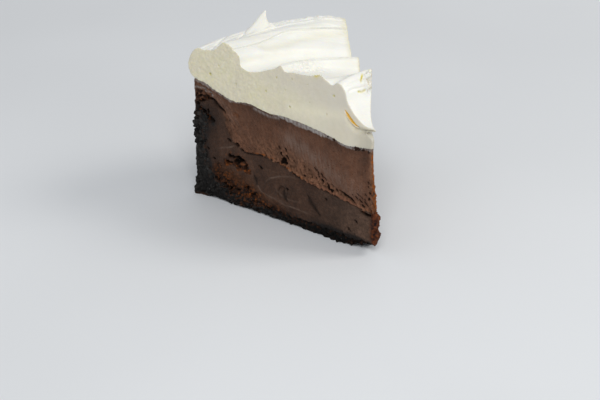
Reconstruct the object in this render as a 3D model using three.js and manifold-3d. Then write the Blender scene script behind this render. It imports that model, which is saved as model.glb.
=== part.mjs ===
// A slice of mud pie: one eighth of a round pie, cut with two straight cuts that meet at its centre.
// Four layers run through it: a crumb crust, a dark fudge layer that climbs the rim, a chocolate
// mousse layer, and whipped cream spread in ridges with one hooked peak.
//
// Millimetres, +Z up. The underside lies on z = 0, the tip points to -Y and the rim to +Y.
// A section is drawn in (r, z), with r measured from the pie's centre axis, and is swept round
// that axis from the first cut (t = 0, the -X side) to the second cut (t = 1, the +X side).

import * as THREE from 'three';
import { mergeGeometries, mergeVertices } from 'three/addons/utils/BufferGeometryUtils.js';
import Module from 'manifold-3d';

// ---------------------------------------------------------------- driving dimensions

const SLICE_ANGLE = THREE.MathUtils.degToRad(45); // one eighth of a pie 228 mm across
const AXIS_Y = -59; // the pie's centre axis, which puts the middle of the slice at the origin
const SWEEP_STEPS = 18; // facets from the first cut to the second
const LAYER_GAP = 0.3; // clear distance between neighbouring layers
const TIP_LEAN = { reach: 27, fromZ: 20, fullZ: 42, share: 0.75 }; // how the soft tip leans to the first cut
const RIM_SWELL = { height: 4.2, fromR: 94, fullR: 103, fromZ: 70, fullZ: 77 }; // the rim rises between the cuts
const SAMPLES_PER_SPAN = 2; // section points for each stretch between two guide points

// Each guide point is [r, z at the first cut, r, z at the second cut], from the tip to the rim. A fifth
// number under 1 makes the point leave its first place sooner on the way to the second cut.
const CRUST_INSIDE = [
  [1.8, 5.6, 1.8, 5.8],
  [15, 4.4, 14, 5.2],
  [36, 4.8, 35, 4.4],
  [58, 5.2, 56, 5.8],
  [80, 6.2, 78, 5.4],
  [93, 7.8, 91, 7.2],
  [100.5, 11.5, 99, 11],
  [104, 18, 103.4, 18.5],
  [106.4, 26, 106.2, 27],
  [106.6, 34, 107, 34],
  [105.2, 40, 106, 41],
  [106.6, 44.6, 108, 46],
  [109.6, 46.2, 110.4, 47.4],
  [113.2, 45.6, 113.2, 46.8],
];

const FUDGE_TOP = [
  [1.4, 20, 1.4, 19],
  [15, 22.8, 16, 21],
  [35, 25.7, 34, 26.4],
  [47, 27.4, 48, 29.6],
  [58, 31, 60, 30.4],
  [70, 32.4, 72, 30.8],
  [81, 31.4, 83, 32.6],
  [88, 35, 89, 36],
  [92.8, 41, 93, 42],
  [93.8, 48, 95, 48.5],
  [96.4, 53, 98, 52.6],
  [101, 55.2, 102, 54.6],
  [106, 54.4, 106.5, 53.6],
  [113, 51, 113, 50.6],
];

const MOUSSE_TOP = [
  [3.8, 53.6, 3.8, 53.4],
  [12.6, 52.2, 13, 52.8],
  [20, 51.6, 21, 52.6],
  [30, 53.8, 31, 53.2],
  [43, 55.6, 44, 54.6],
  [57, 56.4, 56, 56.2],
  [66, 55.8, 67, 56.6],
  [79, 57.8, 78, 57],
  [86, 56.6, 86, 57.4],
  [94, 57.8, 95, 58.4],
  [101, 59.8, 101, 60.2],
  [106, 61.8, 106.5, 61.4],
  [113, 62.5, 113, 62.2],
];

// The cream's top side: the lip over the tip, the near ridge, the plateau with its step, the wide
// valley, the high ridge along the rim, and the bulge over the outer wall.
const CREAM_TOP = [
  [3.5, 54.6, 3.6, 54.4],
  [3.4, 58.4, 3.4, 58.2],
  [7.6, 60.4, 7.4, 60.6],
  [2.2, 63.1, 2.6, 62.8],
  [8.6, 64.2, 8.6, 65],
  [14.2, 67.9, 14, 69],
  [18.4, 72.8, 18.6, 75],
  [20.6, 78.6, 20.4, 80.4],
  [23.6, 81.1, 23, 84.2],
  [27.4, 79.5, 27, 84.2],
  [31.4, 81.2, 31, 80.4, 0.5],
  [34.4, 83.8, 36, 75.4, 0.45],
  [41, 81.6, 43, 71.4, 0.6],
  [50, 80.6, 51, 70, 0.8],
  [55.6, 79.8, 59.6, 70.6],
  [58, 82, 63, 75.2],
  [61.6, 79.9, 66.4, 75],
  [69, 76.6, 71, 69.6],
  [78, 74.4, 79, 65.8],
  [82.8, 76.4, 86, 66.6],
  [83.6, 80.8, 90.6, 70],
  [88.6, 84, 96, 72.4],
  [93.6, 85.6, 101.6, 74.8],
  [98.8, 81, 105.6, 77],
  [105, 79, 109, 78.2],
  [111.2, 78.8, 112.6, 78],
  [115.2, 74.2, 115.4, 73.8],
  [116.8, 69.2, 116.6, 69],
  [115.4, 64.8, 115.4, 64.6],
  [113.2, 62.9, 113.2, 62.6],
];

// The hooked peak on the rim: where it stands, how tall and wide it is and how far it leans over.
const PEAK = { radius: 106.5, turn: 0.44, foot: 79.5, height: 11.5, width: 16, lean: 2.4 };

// ---------------------------------------------------------------- sections

const { lerp, smoothstep } = THREE.MathUtils;

// The guide points at t, as one smooth curve in the (r, z) plane.
function guideCurve(guides, t) {
  const points = guides.map(([r1, z1, r2, z2, pace = 1]) => {
    const way = t ** pace;
    return new THREE.Vector3(lerp(r1, r2, way), lerp(z1, z2, way), 0);
  });
  return new THREE.CatmullRomCurve3(points, false, 'centripetal');
}

// The curve as section points, each moved sideways by offset: above the curve where it is positive.
function sampleCurve(curve, spans, offset = 0) {
  const count = spans * SAMPLES_PER_SPAN;
  return Array.from({ length: count + 1 }, (_, i) => {
    const point = curve.getPoint(i / count);
    const along = curve.getTangent(i / count);
    return new THREE.Vector2(point.x - along.y * offset, point.y + along.x * offset);
  });
}

function boundary(guides, t, offset = 0) {
  return sampleCurve(guideCurve(guides, t), guides.length - 1, offset);
}

// A few straight section points given as [r, z] pairs.
function corners(...pairs) {
  return pairs.map(([r, z]) => new THREE.Vector2(r, z));
}

// The rough outer face of the crumb crust: bumps and notches that drift from cut to cut.
function crumbyWall(t) {
  const heights = [2, 5, 11, 17, 23, 27, 31.5, 36, 39.5, 43];
  return heights.map((z, i) => {
    const bump = 0.9 * Math.sin(2.3 * i + 5 * t) + 0.5 * Math.sin(5.1 * i - 11 * t);
    return new THREE.Vector2(113.4 + bump, z);
  });
}

// Each section runs along its underside from tip to rim and back along its top side.
function crustSection(t) {
  const underside = corners([3.4, 4], [7, 3], [13.5, 0], [30, 0], [58, 0], [86, 0], [113.4, 0]);
  const inside = boundary(CRUST_INSIDE, t, -LAYER_GAP / 2);
  return [...underside, ...crumbyWall(t), ...inside.reverse()];
}

function fudgeSection(t) {
  const below = boundary(CRUST_INSIDE, t, LAYER_GAP / 2);
  const above = boundary(FUDGE_TOP, t, -LAYER_GAP / 2);
  const tip = corners([1.2, 15], [1.1, 10]);
  return [...below, ...above.reverse(), ...tip];
}

function mousseSection(t) {
  const below = boundary(FUDGE_TOP, t, LAYER_GAP / 2);
  const above = boundary(MOUSSE_TOP, t, -LAYER_GAP / 2);
  const rim = corners([113.1, 56.5]);
  const tip = corners([4.2, 47], [3.2, 39], [2.3, 31]);
  return [...below, ...rim, ...above.reverse(), ...tip];
}

// The cream along the rim stands highest about two thirds of the way to the second cut.
function swellRim(point, t) {
  const outward = smoothstep(point.x, RIM_SWELL.fromR, RIM_SWELL.fullR);
  const upward = smoothstep(point.y, RIM_SWELL.fromZ, RIM_SWELL.fullZ);
  const rise = RIM_SWELL.height * Math.sin(Math.PI * t ** 2) * outward * upward;
  return new THREE.Vector2(point.x, point.y + rise);
}

function creamSection(t) {
  const below = boundary(MOUSSE_TOP, t, LAYER_GAP / 2);
  const above = boundary(CREAM_TOP, t).map((point) => swellRim(point, t));
  return [...below, ...above.reverse()];
}

// ---------------------------------------------------------------- solids

// How far the soft upper tip is pulled from its own turn towards the first cut, from 0 to 1.
function tipLean(point) {
  const nearness = Math.max(0, 1 - point.x / TIP_LEAN.reach);
  return TIP_LEAN.share * nearness ** 2 * smoothstep(point.y, TIP_LEAN.fromZ, TIP_LEAN.fullZ);
}

// A section point at t, turned to its place round the pie's centre axis.
function place(point, t) {
  const angle = (t * (1 - tipLean(point)) - 0.5) * SLICE_ANGLE;
  return new THREE.Vector3(point.x * Math.sin(angle), AXIS_Y + point.x * Math.cos(angle), point.y);
}

function moveVertices(geometry, newPlace) {
  const position = geometry.getAttribute('position');
  for (let i = 0; i < position.count; i += 1) {
    const moved = newPlace(i, position);
    position.setXYZ(i, moved.x, moved.y, moved.z);
  }
}

function turnInsideOut(geometry) {
  geometry.index.array.reverse();
}

// The flat face of a cut, filled in from its section.
function cutFace(section, t) {
  const face = new THREE.ShapeGeometry(new THREE.Shape(section));
  moveVertices(face, (i, position) => place(new THREE.Vector2(position.getX(i), position.getY(i)), t));
  return face;
}

// The skin between the cuts: a grid with one column for each section point, rolled shut.
function skin(sectionAt, pointCount) {
  const grid = new THREE.PlaneGeometry(1, 1, pointCount, SWEEP_STEPS);
  const stations = Array.from({ length: SWEEP_STEPS + 1 }, (_, k) => sectionAt(k / SWEEP_STEPS));
  moveVertices(grid, (i) => {
    const column = i % (pointCount + 1);
    const station = Math.floor(i / (pointCount + 1));
    return place(stations[station][column % pointCount], station / SWEEP_STEPS);
  });
  return grid;
}

// One closed body swept round the centre axis, from a section that changes between the cuts.
function sweptLayer(sectionAt) {
  const first = sectionAt(0);
  const wall = skin(sectionAt, first.length);
  const nearFace = cutFace(first, 0);
  const farFace = cutFace(sectionAt(1), 1);
  turnInsideOut(wall);
  turnInsideOut(nearFace);
  const pieces = [wall, nearFace, farFace];
  pieces.forEach((piece) => {
    piece.deleteAttribute('normal');
    piece.deleteAttribute('uv');
  });
  return mergeVertices(mergeGeometries(pieces), 1e-3);
}

// A tapered, leaning cone with a round foot that sits well inside the cream.
function hookedPeak() {
  const depth = 6;
  const profile = [
    [0, -depth],
    [PEAK.width * 0.5, -depth],
    [PEAK.width * 0.42, 0],
    [PEAK.width * 0.24, PEAK.height * 0.3],
    [PEAK.width * 0.12, PEAK.height * 0.6],
    [PEAK.width * 0.05, PEAK.height * 0.85],
    [0, PEAK.height],
  ];
  const cone = new THREE.LatheGeometry(profile.map(([x, y]) => new THREE.Vector2(x, y)), 14);
  cone.rotateX(Math.PI / 2);
  const foot = place(new THREE.Vector2(PEAK.radius, PEAK.foot), PEAK.turn);
  moveVertices(cone, (i, position) => {
    const rise = Math.max(position.getZ(i), 0);
    const lean = PEAK.lean * (rise / PEAK.height) ** 2;
    return new THREE.Vector3(
      foot.x + position.getX(i) + lean,
      foot.y + position.getY(i),
      foot.z + position.getZ(i),
    );
  });
  cone.deleteAttribute('normal');
  cone.deleteAttribute('uv');
  return mergeVertices(cone, 1e-3);
}

// ---------------------------------------------------------------- joining

const wasm = await Module();
wasm.setup();

function toManifold(geometry) {
  return new wasm.Manifold(new wasm.Mesh({
    numProp: 3,
    vertProperties: new Float32Array(geometry.getAttribute('position').array),
    triVerts: new Uint32Array(geometry.index.array),
  }));
}

function toGeometry(solid) {
  const mesh = solid.getMesh();
  const geometry = new THREE.BufferGeometry();
  geometry.setAttribute('position', new THREE.BufferAttribute(mesh.vertProperties, 3));
  geometry.setIndex(new THREE.BufferAttribute(mesh.triVerts, 1));
  return geometry;
}

function whippedCream() {
  const spread = toManifold(sweptLayer(creamSection));
  const peak = toManifold(hookedPeak());
  return toGeometry(spread.add(peak));
}

// ---------------------------------------------------------------- the slice

function layer(name, geometry, look) {
  const mesh = new THREE.Mesh(geometry, new THREE.MeshStandardMaterial({ metalness: 0, ...look }));
  mesh.name = name;
  return mesh;
}

const slice = new THREE.Group();
slice.add(
  layer('crumb_crust', sweptLayer(crustSection), { color: 0x231c1a, roughness: 0.9 }),
  layer('fudge_layer', sweptLayer(fudgeSection), { color: 0x3d2721, roughness: 0.5 }),
  layer('mousse_layer', sweptLayer(mousseSection), { color: 0x4e342b, roughness: 0.65 }),
  layer('whipped_cream', whippedCream(), { color: 0xf1ede0, roughness: 0.55 }),
);

export default slice;
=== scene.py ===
"""A slice of mud pie: crumb crust, fudge, chocolate mousse and spread whipped cream.

Each layer is drawn as a section in (r, z), with r measured from the pie's centre axis, and rolled
round that axis from the first cut (t = 0, the -X side) to the second cut (t = 1, the +X side). The
rolled skin is made even and fine, and its relief is then worked in: ridges and folds in the cream,
knife streaks, torn crumb, pores and pits on the cut faces, and packed crumbs in the crust. Masks on
the skin tell the finishes where each of these lies.

Sections and relief are worked out in millimetres, and meshes are stored in metres. Places on a cut
face are (s, z), where s is the same as r.
"""

import math
import random
from contextlib import contextmanager
from functools import cached_property

import bpy
import numpy as np
from bpy.props import FloatProperty, FloatVectorProperty, IntProperty, PointerProperty
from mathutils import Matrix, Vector, noise


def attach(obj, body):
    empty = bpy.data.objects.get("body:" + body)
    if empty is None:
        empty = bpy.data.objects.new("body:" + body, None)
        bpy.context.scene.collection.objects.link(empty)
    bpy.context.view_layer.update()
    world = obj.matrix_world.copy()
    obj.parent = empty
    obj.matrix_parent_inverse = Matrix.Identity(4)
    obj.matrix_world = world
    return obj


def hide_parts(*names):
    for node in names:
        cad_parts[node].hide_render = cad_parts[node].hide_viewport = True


bl_info = {
    "name": "Slice of Mud Pie",
    "version": (1, 0, 0),
    "blender": (4, 5, 0),
    "location": "3D View > Sidebar > Mud Pie",
    "description": "Models one slice of mud pie round its packed solids",
    "category": "Add Mesh",
}

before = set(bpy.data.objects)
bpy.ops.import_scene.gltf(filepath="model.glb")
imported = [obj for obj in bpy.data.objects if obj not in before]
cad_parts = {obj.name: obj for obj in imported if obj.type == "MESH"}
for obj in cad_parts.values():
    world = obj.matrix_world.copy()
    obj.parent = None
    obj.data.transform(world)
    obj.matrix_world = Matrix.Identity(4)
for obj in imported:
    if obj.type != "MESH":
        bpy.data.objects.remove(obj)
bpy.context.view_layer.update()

MM = 0.001  # metres in a millimetre

# ------------------------------------------------------------------ driving sizes, in millimetres

SLICE_ANGLE = math.radians(45)
AXIS_Y = -59.0  # the pie's centre axis
TIP_LEAN_REACH = 27.0  # the soft tip leans to the first cut, out to this radius
TIP_LEAN_HEIGHTS = (20.0, 42.0)  # the lean starts at the first height and is full at the second
TIP_LEAN_SHARE = 0.75
RIM_SWELL = [  # how far the cream along the rim rises between the cuts, as (t, height)
    (0, 0), (0.3, 1), (0.5, 2), (0.62, 2.6), (0.75, 2.8), (0.84, 3.5), (0.9, 3), (1, 1),
]
RIM_SWELL_RADII = (94.0, 103.0)
RIM_SWELL_HEIGHTS = (70.0, 77.0)
LAYER_OVERLAP = 0.05  # neighbouring layers are pressed into each other by this much

LAYER_TRIANGLES = 192000  # each layer's mesh is brought down to about this many
LAYER_STATIONS = 72  # turns at which a layer's section is drawn
CREAM_STATIONS = 144

WELD_DISTANCE = 0.01
INSIDE_RADII = (6, 110)  # the skin is thinned inside, between these radii
INSIDE_DEPTH = 3  # and this far behind both cuts

# How far behind a cut face its masks and its pits still reach.
CUT_FACE_DEPTH = 1.6
CREAM_HOLLOW_DEPTH = 4.0  # the cream's second cut is hollowed, so its face lies deeper
MASK_DEPTH = 4.0
PIT_DEPTH = 5.0

# ------------------------------------------------------------------ the stage

CAMERA_PLACE = (-0.3762, -0.6520, 0.3639)  # metres
CAMERA_HEADING = (0.491, 0.871, 0)
CAMERA_PITCH = 25.524  # degrees down
CAMERA_LENS = 100
CAMERA_SENSOR = 36
FLOOR_SIZE = 6  # metres
LAMPS_AIM_AT = (0, 0, 0.045)
LAMPS = [  # name, azimuth and elevation in degrees, distance and size in metres, power, tint
    ("Key_Light", -28, 42, 1.6, 0.6, 7.5, (1.0, 0.985, 0.95)),
    ("Fill_Light", 240, 44, 1.8, 0.7, 13.4, (0.97, 0.985, 1.0)),
]
ROOM_COLOUR = (0.93, 0.96, 1.0, 1)
ROOM_STRENGTH = 0.46

# ------------------------------------------------------------------ sections and marks

# The fixed parts of the layers' sections, as (r, z).
CRUST_UNDERSIDE = [(3.4, 4), (7, 3), (13.5, 0), (30, 0), (58, 0), (86, 0), (113.2, 0)]
CRUST_WALL_RADIUS = 113.4
CRUST_WALL_HEIGHTS = (2, 43)
CRUST_WALL_POINTS = 12
FUDGE_TIP = [(1.2, 15), (1.1, 10)]
MOUSSE_RIM = [(113.1, 56.5)]
MOUSSE_TIP = [(4.6, 47), (3.5, 39), (2.4, 31)]

# Guide points of the layers' boundaries, from the tip to the rim: r and z at the first cut, then r
# and z at the second cut. A fifth number under 1 makes the point leave its first place sooner.
CRUST_INSIDE = [
    (1.8, 5.6, 1.8, 5.8),
    (15, 4.4, 14, 5.2),
    (36, 4.8, 35, 4.4),
    (58, 5.2, 56, 5.8),
    (80, 6.2, 78, 5.4),
    (93, 7.8, 91, 7.2),
    (100.5, 11.5, 99, 11),
    (104, 18, 103.4, 18.5),
    (106.4, 26, 106.2, 27),
    (106.6, 34, 107, 34),
    (105.2, 40, 106, 41),
    (106.6, 44.6, 108, 46),
    (109.6, 46.2, 110.4, 47.4),
    (113.2, 45.6, 113.2, 46.8),
]
FUDGE_TOP = [
    (1.4, 20, 1.4, 19),
    (15, 22.8, 16, 21),
    (35, 25.7, 34, 26.4),
    (47, 27.4, 48, 29.6),
    (58, 31, 60, 30.4),
    (70, 32.4, 72, 30.8),
    (81, 31.4, 83, 32.6),
    (88, 35, 89, 36),
    (92.8, 41, 93, 42),
    (93.8, 48, 95, 48.5),
    (96.4, 53, 98, 52.6),
    (101, 55.2, 102, 54.6),
    (106, 54.4, 106.5, 53.6),
    (113, 51, 113, 50.6),
]
MOUSSE_TOP = [
    (4.4, 53.6, 4.4, 53.4),
    (12.6, 52.2, 13, 52.8),
    (20, 51.6, 21, 52.6),
    (30, 53.8, 31, 53.2),
    (43, 55.6, 44, 54.6),
    (57, 56.4, 56, 56.2),
    (66, 55.8, 67, 56.6),
    (79, 57.8, 78, 57),
    (86, 56.6, 86, 57.4),
    (94, 57.8, 95, 58.4),
    (101, 59.8, 101, 60.2),
    (106, 61.8, 106.5, 61.4),
    (113, 62.5, 113, 62.2),
]
CREAM_TOP = [
    (4.3, 54.6, 4.4, 54.4),
    (4.4, 58, 4.4, 58),
    (8.4, 60.4, 8.2, 60.6),
    (2.2, 63.1, 2.6, 62.8),
    (8.6, 64.2, 8.6, 65),
    (14.2, 67.9, 14, 69),
    (18.4, 72.8, 18.6, 75),
    (20.6, 78.6, 20.4, 80.4),
    (23.6, 81.1, 23, 84.2),
    (27.4, 79.5, 27, 84.2),
    (31.4, 81.2, 31, 80.4, 0.5),
    (34.4, 83.8, 36, 75.4, 0.45),
    (41, 81.6, 43, 71.4, 0.6),
    (50, 80.6, 51, 70, 0.8),
    (55.6, 79.8, 59.6, 70.6),
    (58, 82, 63, 75.2),
    (61.6, 79.9, 66.4, 75),
    (69, 76.6, 71, 69.6),
    (78, 74.4, 79, 65.8),
    (82.8, 76.4, 86, 66.6),
    (83.6, 80.8, 90.6, 70),
    (88.6, 84, 96, 72.4),
    (93.6, 85.6, 101.6, 74.8),
    (98.8, 81, 105.6, 77),
    (105, 79, 109, 78.2),
    (111.2, 78.8, 112.6, 78),
    (115.2, 74.2, 115.4, 73.8),
    (116.8, 69.2, 116.6, 69),
    (115.4, 64.8, 115.4, 64.6),
    (113.2, 62.9, 113.2, 62.6),
]

# Lines across the cream's top, each as (t, r, z) from the first cut to the second.
RIM_CREASE = [
    (0, 101.6, 79.2), (0.04, 103.2, 79.4), (0.13, 106.8, 79.2), (0.21, 109.7, 79.4),
    (0.28, 112, 78.8),
]
SAIL_CREASE = [
    (0.16, 97.5, 82.6), (0.22, 101, 81), (0.28, 105.2, 80), (0.33, 107, 80.2), (0.37, 109.8, 80.6),
]
CREST_FOLD = [
    (0, 87.8, 83.6), (0.1, 88.5, 82.4), (0.19, 89.3, 81.5), (0.3, 90.9, 80.6), (0.42, 94, 80.3),
    (0.53, 97.4, 80.9), (0.61, 98.4, 80.9), (0.71, 99.1, 80.4), (0.85, 100.3, 78.9),
    (1, 103.4, 76.2),
]
RIM_BAND = [
    (0.3, 103, 81), (0.45, 103.5, 82), (0.6, 105.5, 82.8), (0.75, 106.2, 82.4), (0.9, 107.4, 80),
    (1, 108, 78),
]
SLOPE_HOLLOW = [
    (0.25, 89, 80), (0.36, 87.7, 78), (0.53, 90.4, 76.9), (0.63, 93.6, 77), (0.79, 96.6, 76.6),
    (1, 101, 75.2),
]
STEP_EDGE = [(0.03, 58.6, 81.8), (0.3, 59.8, 80.2), (0.6, 61.4, 77.8), (1, 64.4, 75.8)]
RIDGE_EDGE = [
    (0, 25.8, 80.2), (0.21, 24.4, 81.4), (0.45, 24.4, 82.4), (0.64, 24.8, 83.1), (0.8, 25.8, 83.6),
    (1, 26, 84.4),
]
RIDGE_GROOVES = [
    [(0.1, 22.2, 80), (0.3, 21.6, 80.2), (0.5, 21.4, 80.8), (0.73, 21.2, 81.6), (1, 21, 81.4)],
    [(0.15, 20.2, 77.6), (0.37, 20.1, 78.1), (0.57, 19.9, 78), (0.77, 19.9, 78.4), (1, 19.8, 78.8)],
]

# Painted shade darkens the cream's top along these creases.
DARK_CREASES = [  # (line, half width)
    (CREST_FOLD, 0.35), (STEP_EDGE, 0.3), (RIM_CREASE, 0.35), (SAIL_CREASE, 0.35), (RIM_BAND, 0.35),
]

# The hooked peak: its radius and turn, how high and thin it is, and how far its tip leans.
PEAK_RADIUS = 108.0
PEAK_TURN = 0.475
PEAK_HEIGHT = 10.0
PEAK_SLOPES = (13.0, 5.0)  # how far its foot reaches along the rim towards the first and second cut
PEAK_THICKNESS = 2.6
PEAK_LEAN = 2.2
PEAK_LUMP = (4.5, 1.8, 1.0)  # by its foot: how far towards the second cut, height, half width
PEAK_FOOT = 83.0  # the height from which it leans

# The fold under the curled lip of cream at the tip, along the first cut: (s, z, half its width),
# and the hollow below it, as (s, z).
LIP_CREVICE = [
    (10.6, 61.8, 0.2), (13.9, 63.1, 0.5), (16.2, 64.6, 1), (18.4, 66.8, 1.05), (20.4, 69.6, 0.3),
]
LIP_CREVICE_DEPTH = 4.0
LIP_HOLLOW = [(4, 62.2), (7.2, 61.2), (11.2, 61), (14.4, 61.6), (17, 63.4), (19, 66)]
LIP_HOLLOW_DEPTH = 1.9
UNDER_CREASE = [(11.2, 60.3), (9, 59.9), (6.2, 60.2), (4.6, 61.5)]

# Marks on the first cut, as (s, z) with s measured from the centre axis. Pits go on with a radius,
# or with half their length, half their width and their tilt in degrees.
CREAM_PITS = [
    (102.4, 67.3, 0.8), (60.5, 75.6, 0.5), (51.3, 77.1, 0.4), (67.2, 67, 0.5), (55.1, 70.5, 0.4),
    (52.7, 62.5, 0.6), (26.6, 74.5, 0.6), (40.7, 67.8, 0.35), (42, 76.4, 0.35), (96.8, 73, 0.4),
    (85.9, 66.2, 0.35), (30.5, 64.4, 0.3),
]
SEAM_PITS = [
    (90.8, 35.2, 1.5, 0.7, 20), (85.4, 34.2, 1.1, 0.9, 30), (82.2, 32.2, 1.1, 0.5, 30),
    (79, 31.4, 0.7, 0.5, 0),
]
FUDGE_PITS = [
    (71, 25.9, 1.5, 0.65, 25), (54.5, 18.8, 0.9, 0.7, 0), (30.4, 20.4, 0.9, 0.55, 25),
    (12.7, 13.9, 1.2, 0.6, 35), (16.8, 8.7, 1.3, 0.5, 45), (104.8, 27.1, 0.9, 0.6, 20),
    (101, 22.5, 0.9, 0.5, 10), (89.5, 23.4, 0.8, 0.6, 0), (104.6, 43.6, 2, 0.8, 20),
    (101.6, 42.7, 1.2, 0.8, 0), (106.4, 42.2, 1.1, 0.7, 60),
]
MOUSSE_PITS = [
    (59.2, 39.6, 1.1, 0.55, 58), (57.6, 36.8, 1.3, 0.8, 62), (55.8, 33.4, 2, 1.5, 50),
    (54.9, 39.6, 1.1, 0.5, 56), (53.8, 36, 1.3, 0.55, 60), (64, 36, 0.7, 0.35, 60),
    (50, 34.6, 0.8, 0.4, 60), (44, 33.6, 0.7, 0.35, 50), (46, 31.6, 0.9, 0.35, 55),
    (37, 34.4, 1.1, 0.4, 55), (35.4, 33.4, 1.4, 0.45, 55), (34.6, 31.4, 1.1, 0.45, 50),
    (33.1, 32.3, 1.4, 0.4, 50), (32.4, 29.6, 1.3, 0.5, 45), (31.2, 31, 1.2, 0.35, 50),
    (29.4, 28.4, 1.4, 0.55, 45), (28.8, 26.9, 1.5, 0.8, 45), (27, 26.2, 1.1, 0.6, 40),
    (26.6, 28.8, 1, 0.3, 45), (24, 26.8, 1.2, 0.4, 40), (12.4, 26.2, 1.4, 0.35, 40),
    (10, 25.4, 1.3, 0.4, 40), (7.4, 25, 1.2, 0.35, 45), (8.6, 23.2, 1.2, 0.35, 40),
    (5.6, 27.6, 0.9, 0.5, 60), (5.2, 30.6, 0.8, 0.4, 70), (5.8, 33.8, 0.7, 0.4, 80),
    (5.9, 35.8, 0.8, 0.4, 80), (7.7, 26.6, 0.9, 0.3, 45), (6.4, 24.4, 1, 0.35, 50),
    (9.6, 27.6, 1.1, 0.25, 45), (11.4, 28.4, 0.9, 0.25, 40), (7.2, 29.6, 0.8, 0.3, 60),
    (14.6, 27.2, 1, 0.25, 40), (48, 30.8, 0.8, 0.3, 50), (41, 33, 0.9, 0.3, 50),
    (39.4, 30, 0.9, 0.35, 50), (43.2, 29.4, 0.8, 0.3, 45), (36.4, 30, 0.9, 0.4, 50),
]
RUSTY_PITS = [
    (86.3, 49.7, 2, 1.2, 20), (101.8, 53, 1, 0.8, 0), (102.7, 41.8, 0.9, 0.9, 0),
    (92, 46, 1.1, 0.5, 70),
]
FUDGE_VOID = [
    (90.2, 26.8, 1.5, 1, 0), (87.6, 26.4, 1.6, 1, 30), (84.6, 26.4, 2.4, 1.8, 0),
    (86.4, 24, 1.8, 1.2, 20), (92.2, 23, 1.5, 0.9, 0), (84.8, 22.6, 1.4, 0.9, 0),
    (81, 25.6, 2, 0.8, 50), (80.4, 22.8, 1.7, 0.9, 60), (93.8, 9.9, 1.6, 1.2, 0),
    (90.6, 8.6, 1.8, 1.3, 0), (85.9, 8.9, 1.3, 0.9, 0), (80.1, 11.6, 1.4, 1, 0),
    (76.1, 9.5, 1.2, 0.9, 0), (99.4, 11.6, 1.6, 1.3, 0),
]
VOID_RAGGEDNESS = 0.8
FUDGE_BUBBLES = [  # (s, z, half width, half height)
    (98.1, 17.2, 1.7, 3.2), (105.8, 30.2, 0.9, 1.3), (57.4, 15.6, 2.6, 3.4),
]
SEAM_CRACKS = [
    [(104.4, 54.4), (101, 54.4), (99.1, 52.8), (97.2, 51.4), (94.8, 50.3), (93, 49)],
    [(22.5, 27.4), (19.2, 26.2), (16.3, 25.2), (13.6, 23.5)],
    [(10.4, 20.2), (9.9, 19.8), (5.8, 19), (3.4, 19.4), (1.8, 20.8)],
]
CRACK_WIDTH = 0.65
TORN_GAPS = [
    (108, 52.1, 2.7, 0.6, -18), (111, 49.9, 1.4, 0.8, 0), (111.6, 54.4, 1, 0.7, 0),
    (108.8, 54.6, 1.4, 0.5, -20), (107.2, 46.8, 1.6, 0.8, 20), (104.8, 44.6, 2.2, 1.3, 10),
    (101.4, 43.2, 1, 0.9, 0), (109.8, 48, 0.9, 0.6, 0), (104.2, 47.2, 0.8, 1.2, 0),
]
FUDGE_HOLLOWS = FUDGE_PITS + SEAM_PITS + TORN_GAPS
MOUSSE_HOLLOWS = MOUSSE_PITS + SEAM_PITS + TORN_GAPS
TORN_CORNER = [(114, 54), (109, 55), (104.6, 56.4)]  # torn where the seam meets the rim
TORN_WALL_TOP = [(109.8, 47), (106.6, 45.6), (102, 42.8)]  # and over the top of the crust's wall

# How light the chocolate is at each distance from the axis: 1 stands for its own colour.
FUDGE_LEVEL = [
    (8, 1.8), (14, 1.32), (22, 0.98), (38, 0.82), (53, 0.8), (64, 1), (92, 0.95), (97, 0.82),
    (99, 0.58), (104, 0.54),
]
MOUSSE_LEVEL = [(8, 1.2), (22, 1.2), (45, 1.08), (60, 0.97), (75, 1), (88, 1.08), (100, 1)]
TIPWARD_RADII = (16, 48)  # the fudge changes its tone towards the tip from one to the other

PALE_BAND = [(52, 62.5), (40, 63.5), (28, 65.5), (21, 68)]  # the lighter band low on the cut cream
STREAK_LEAN = 0.0045  # how much the knife's streaks lean, for each mm up and each mm from the axis
LEDGE_LUMPS = [  # (t, r, z, radius)
    (0.4, 1.7, 20.8, 1.5), (0.3, 1.5, 14.6, 1.2), (0.6, 1.6, 10, 1.4),
]
# The first pale line is partly painted highlight along a groove's edge and partly cream smeared
# there.
LIGHT_EDGES = [  # pale lines in the mousse below the cream: (strength, half width, corners)
    (0.55, 0.55, [(113, 58), (111.4, 58.6), (106.8, 59), (102.9, 57.5), (101, 56.4)]),
    (0.42, 0.7, [(74.5, 56.1), (70, 55.2), (64.8, 54.5), (59.5, 54.9)]),
]
KNIFE_ARCS = [
    [(99.2, 28.1), (95, 30), (90, 31.6), (86.6, 33.6)],
    [(69.6, 17.3), (66.6, 20.4), (64.5, 22), (60, 24), (53.2, 25.9), (46.5, 26.6)],
    [(76, 21.4), (74.6, 17.4), (70.4, 12.4), (64, 11.4), (52.7, 11)],
    [(58, 22), (55.4, 18.2), (55.6, 15), (58.4, 13.4)],
    [(66, 12), (56, 9.8), (48.3, 10), (42.8, 9.5), (39.7, 9.6)],
    [(62, 19.6), (61, 16), (56.6, 13.6), (50, 13.4), (45, 14.6)],
]
KNIFE_NICKS = [
    [(75, 20.1), (74.1, 18.2), (73.5, 16.2)],
    [(41.4, 19), (40.9, 18.1), (39.7, 15.8), (37.3, 13.8), (34.2, 11)],
    [(56.3, 17.6), (56.1, 14.2), (54.5, 12.5)],
]
# A painted sheen: the paler patch on the cut mousse lies along these lines.
SHEEN_LINE = [(52.6, 45.4), (46.5, 42.6), (39.2, 40.2), (31.4, 37.2), (24, 33), (14, 30.6)]
SHEEN_REACH = 5.0
RIM_SHEEN_LINE = [(101, 56.6), (95.6, 54), (91, 51.4), (88.4, 47)]
WALL_KNOBS = [  # (z, height, half width)
    (44.4, 0.8, 1.1), (38.6, 1.3, 2.4), (32.8, 1.2, 1.9), (28.6, 0.7, 1.2), (6.6, 0.8, 2.6),
    (2, 1.9, 2.6),
]
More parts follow.
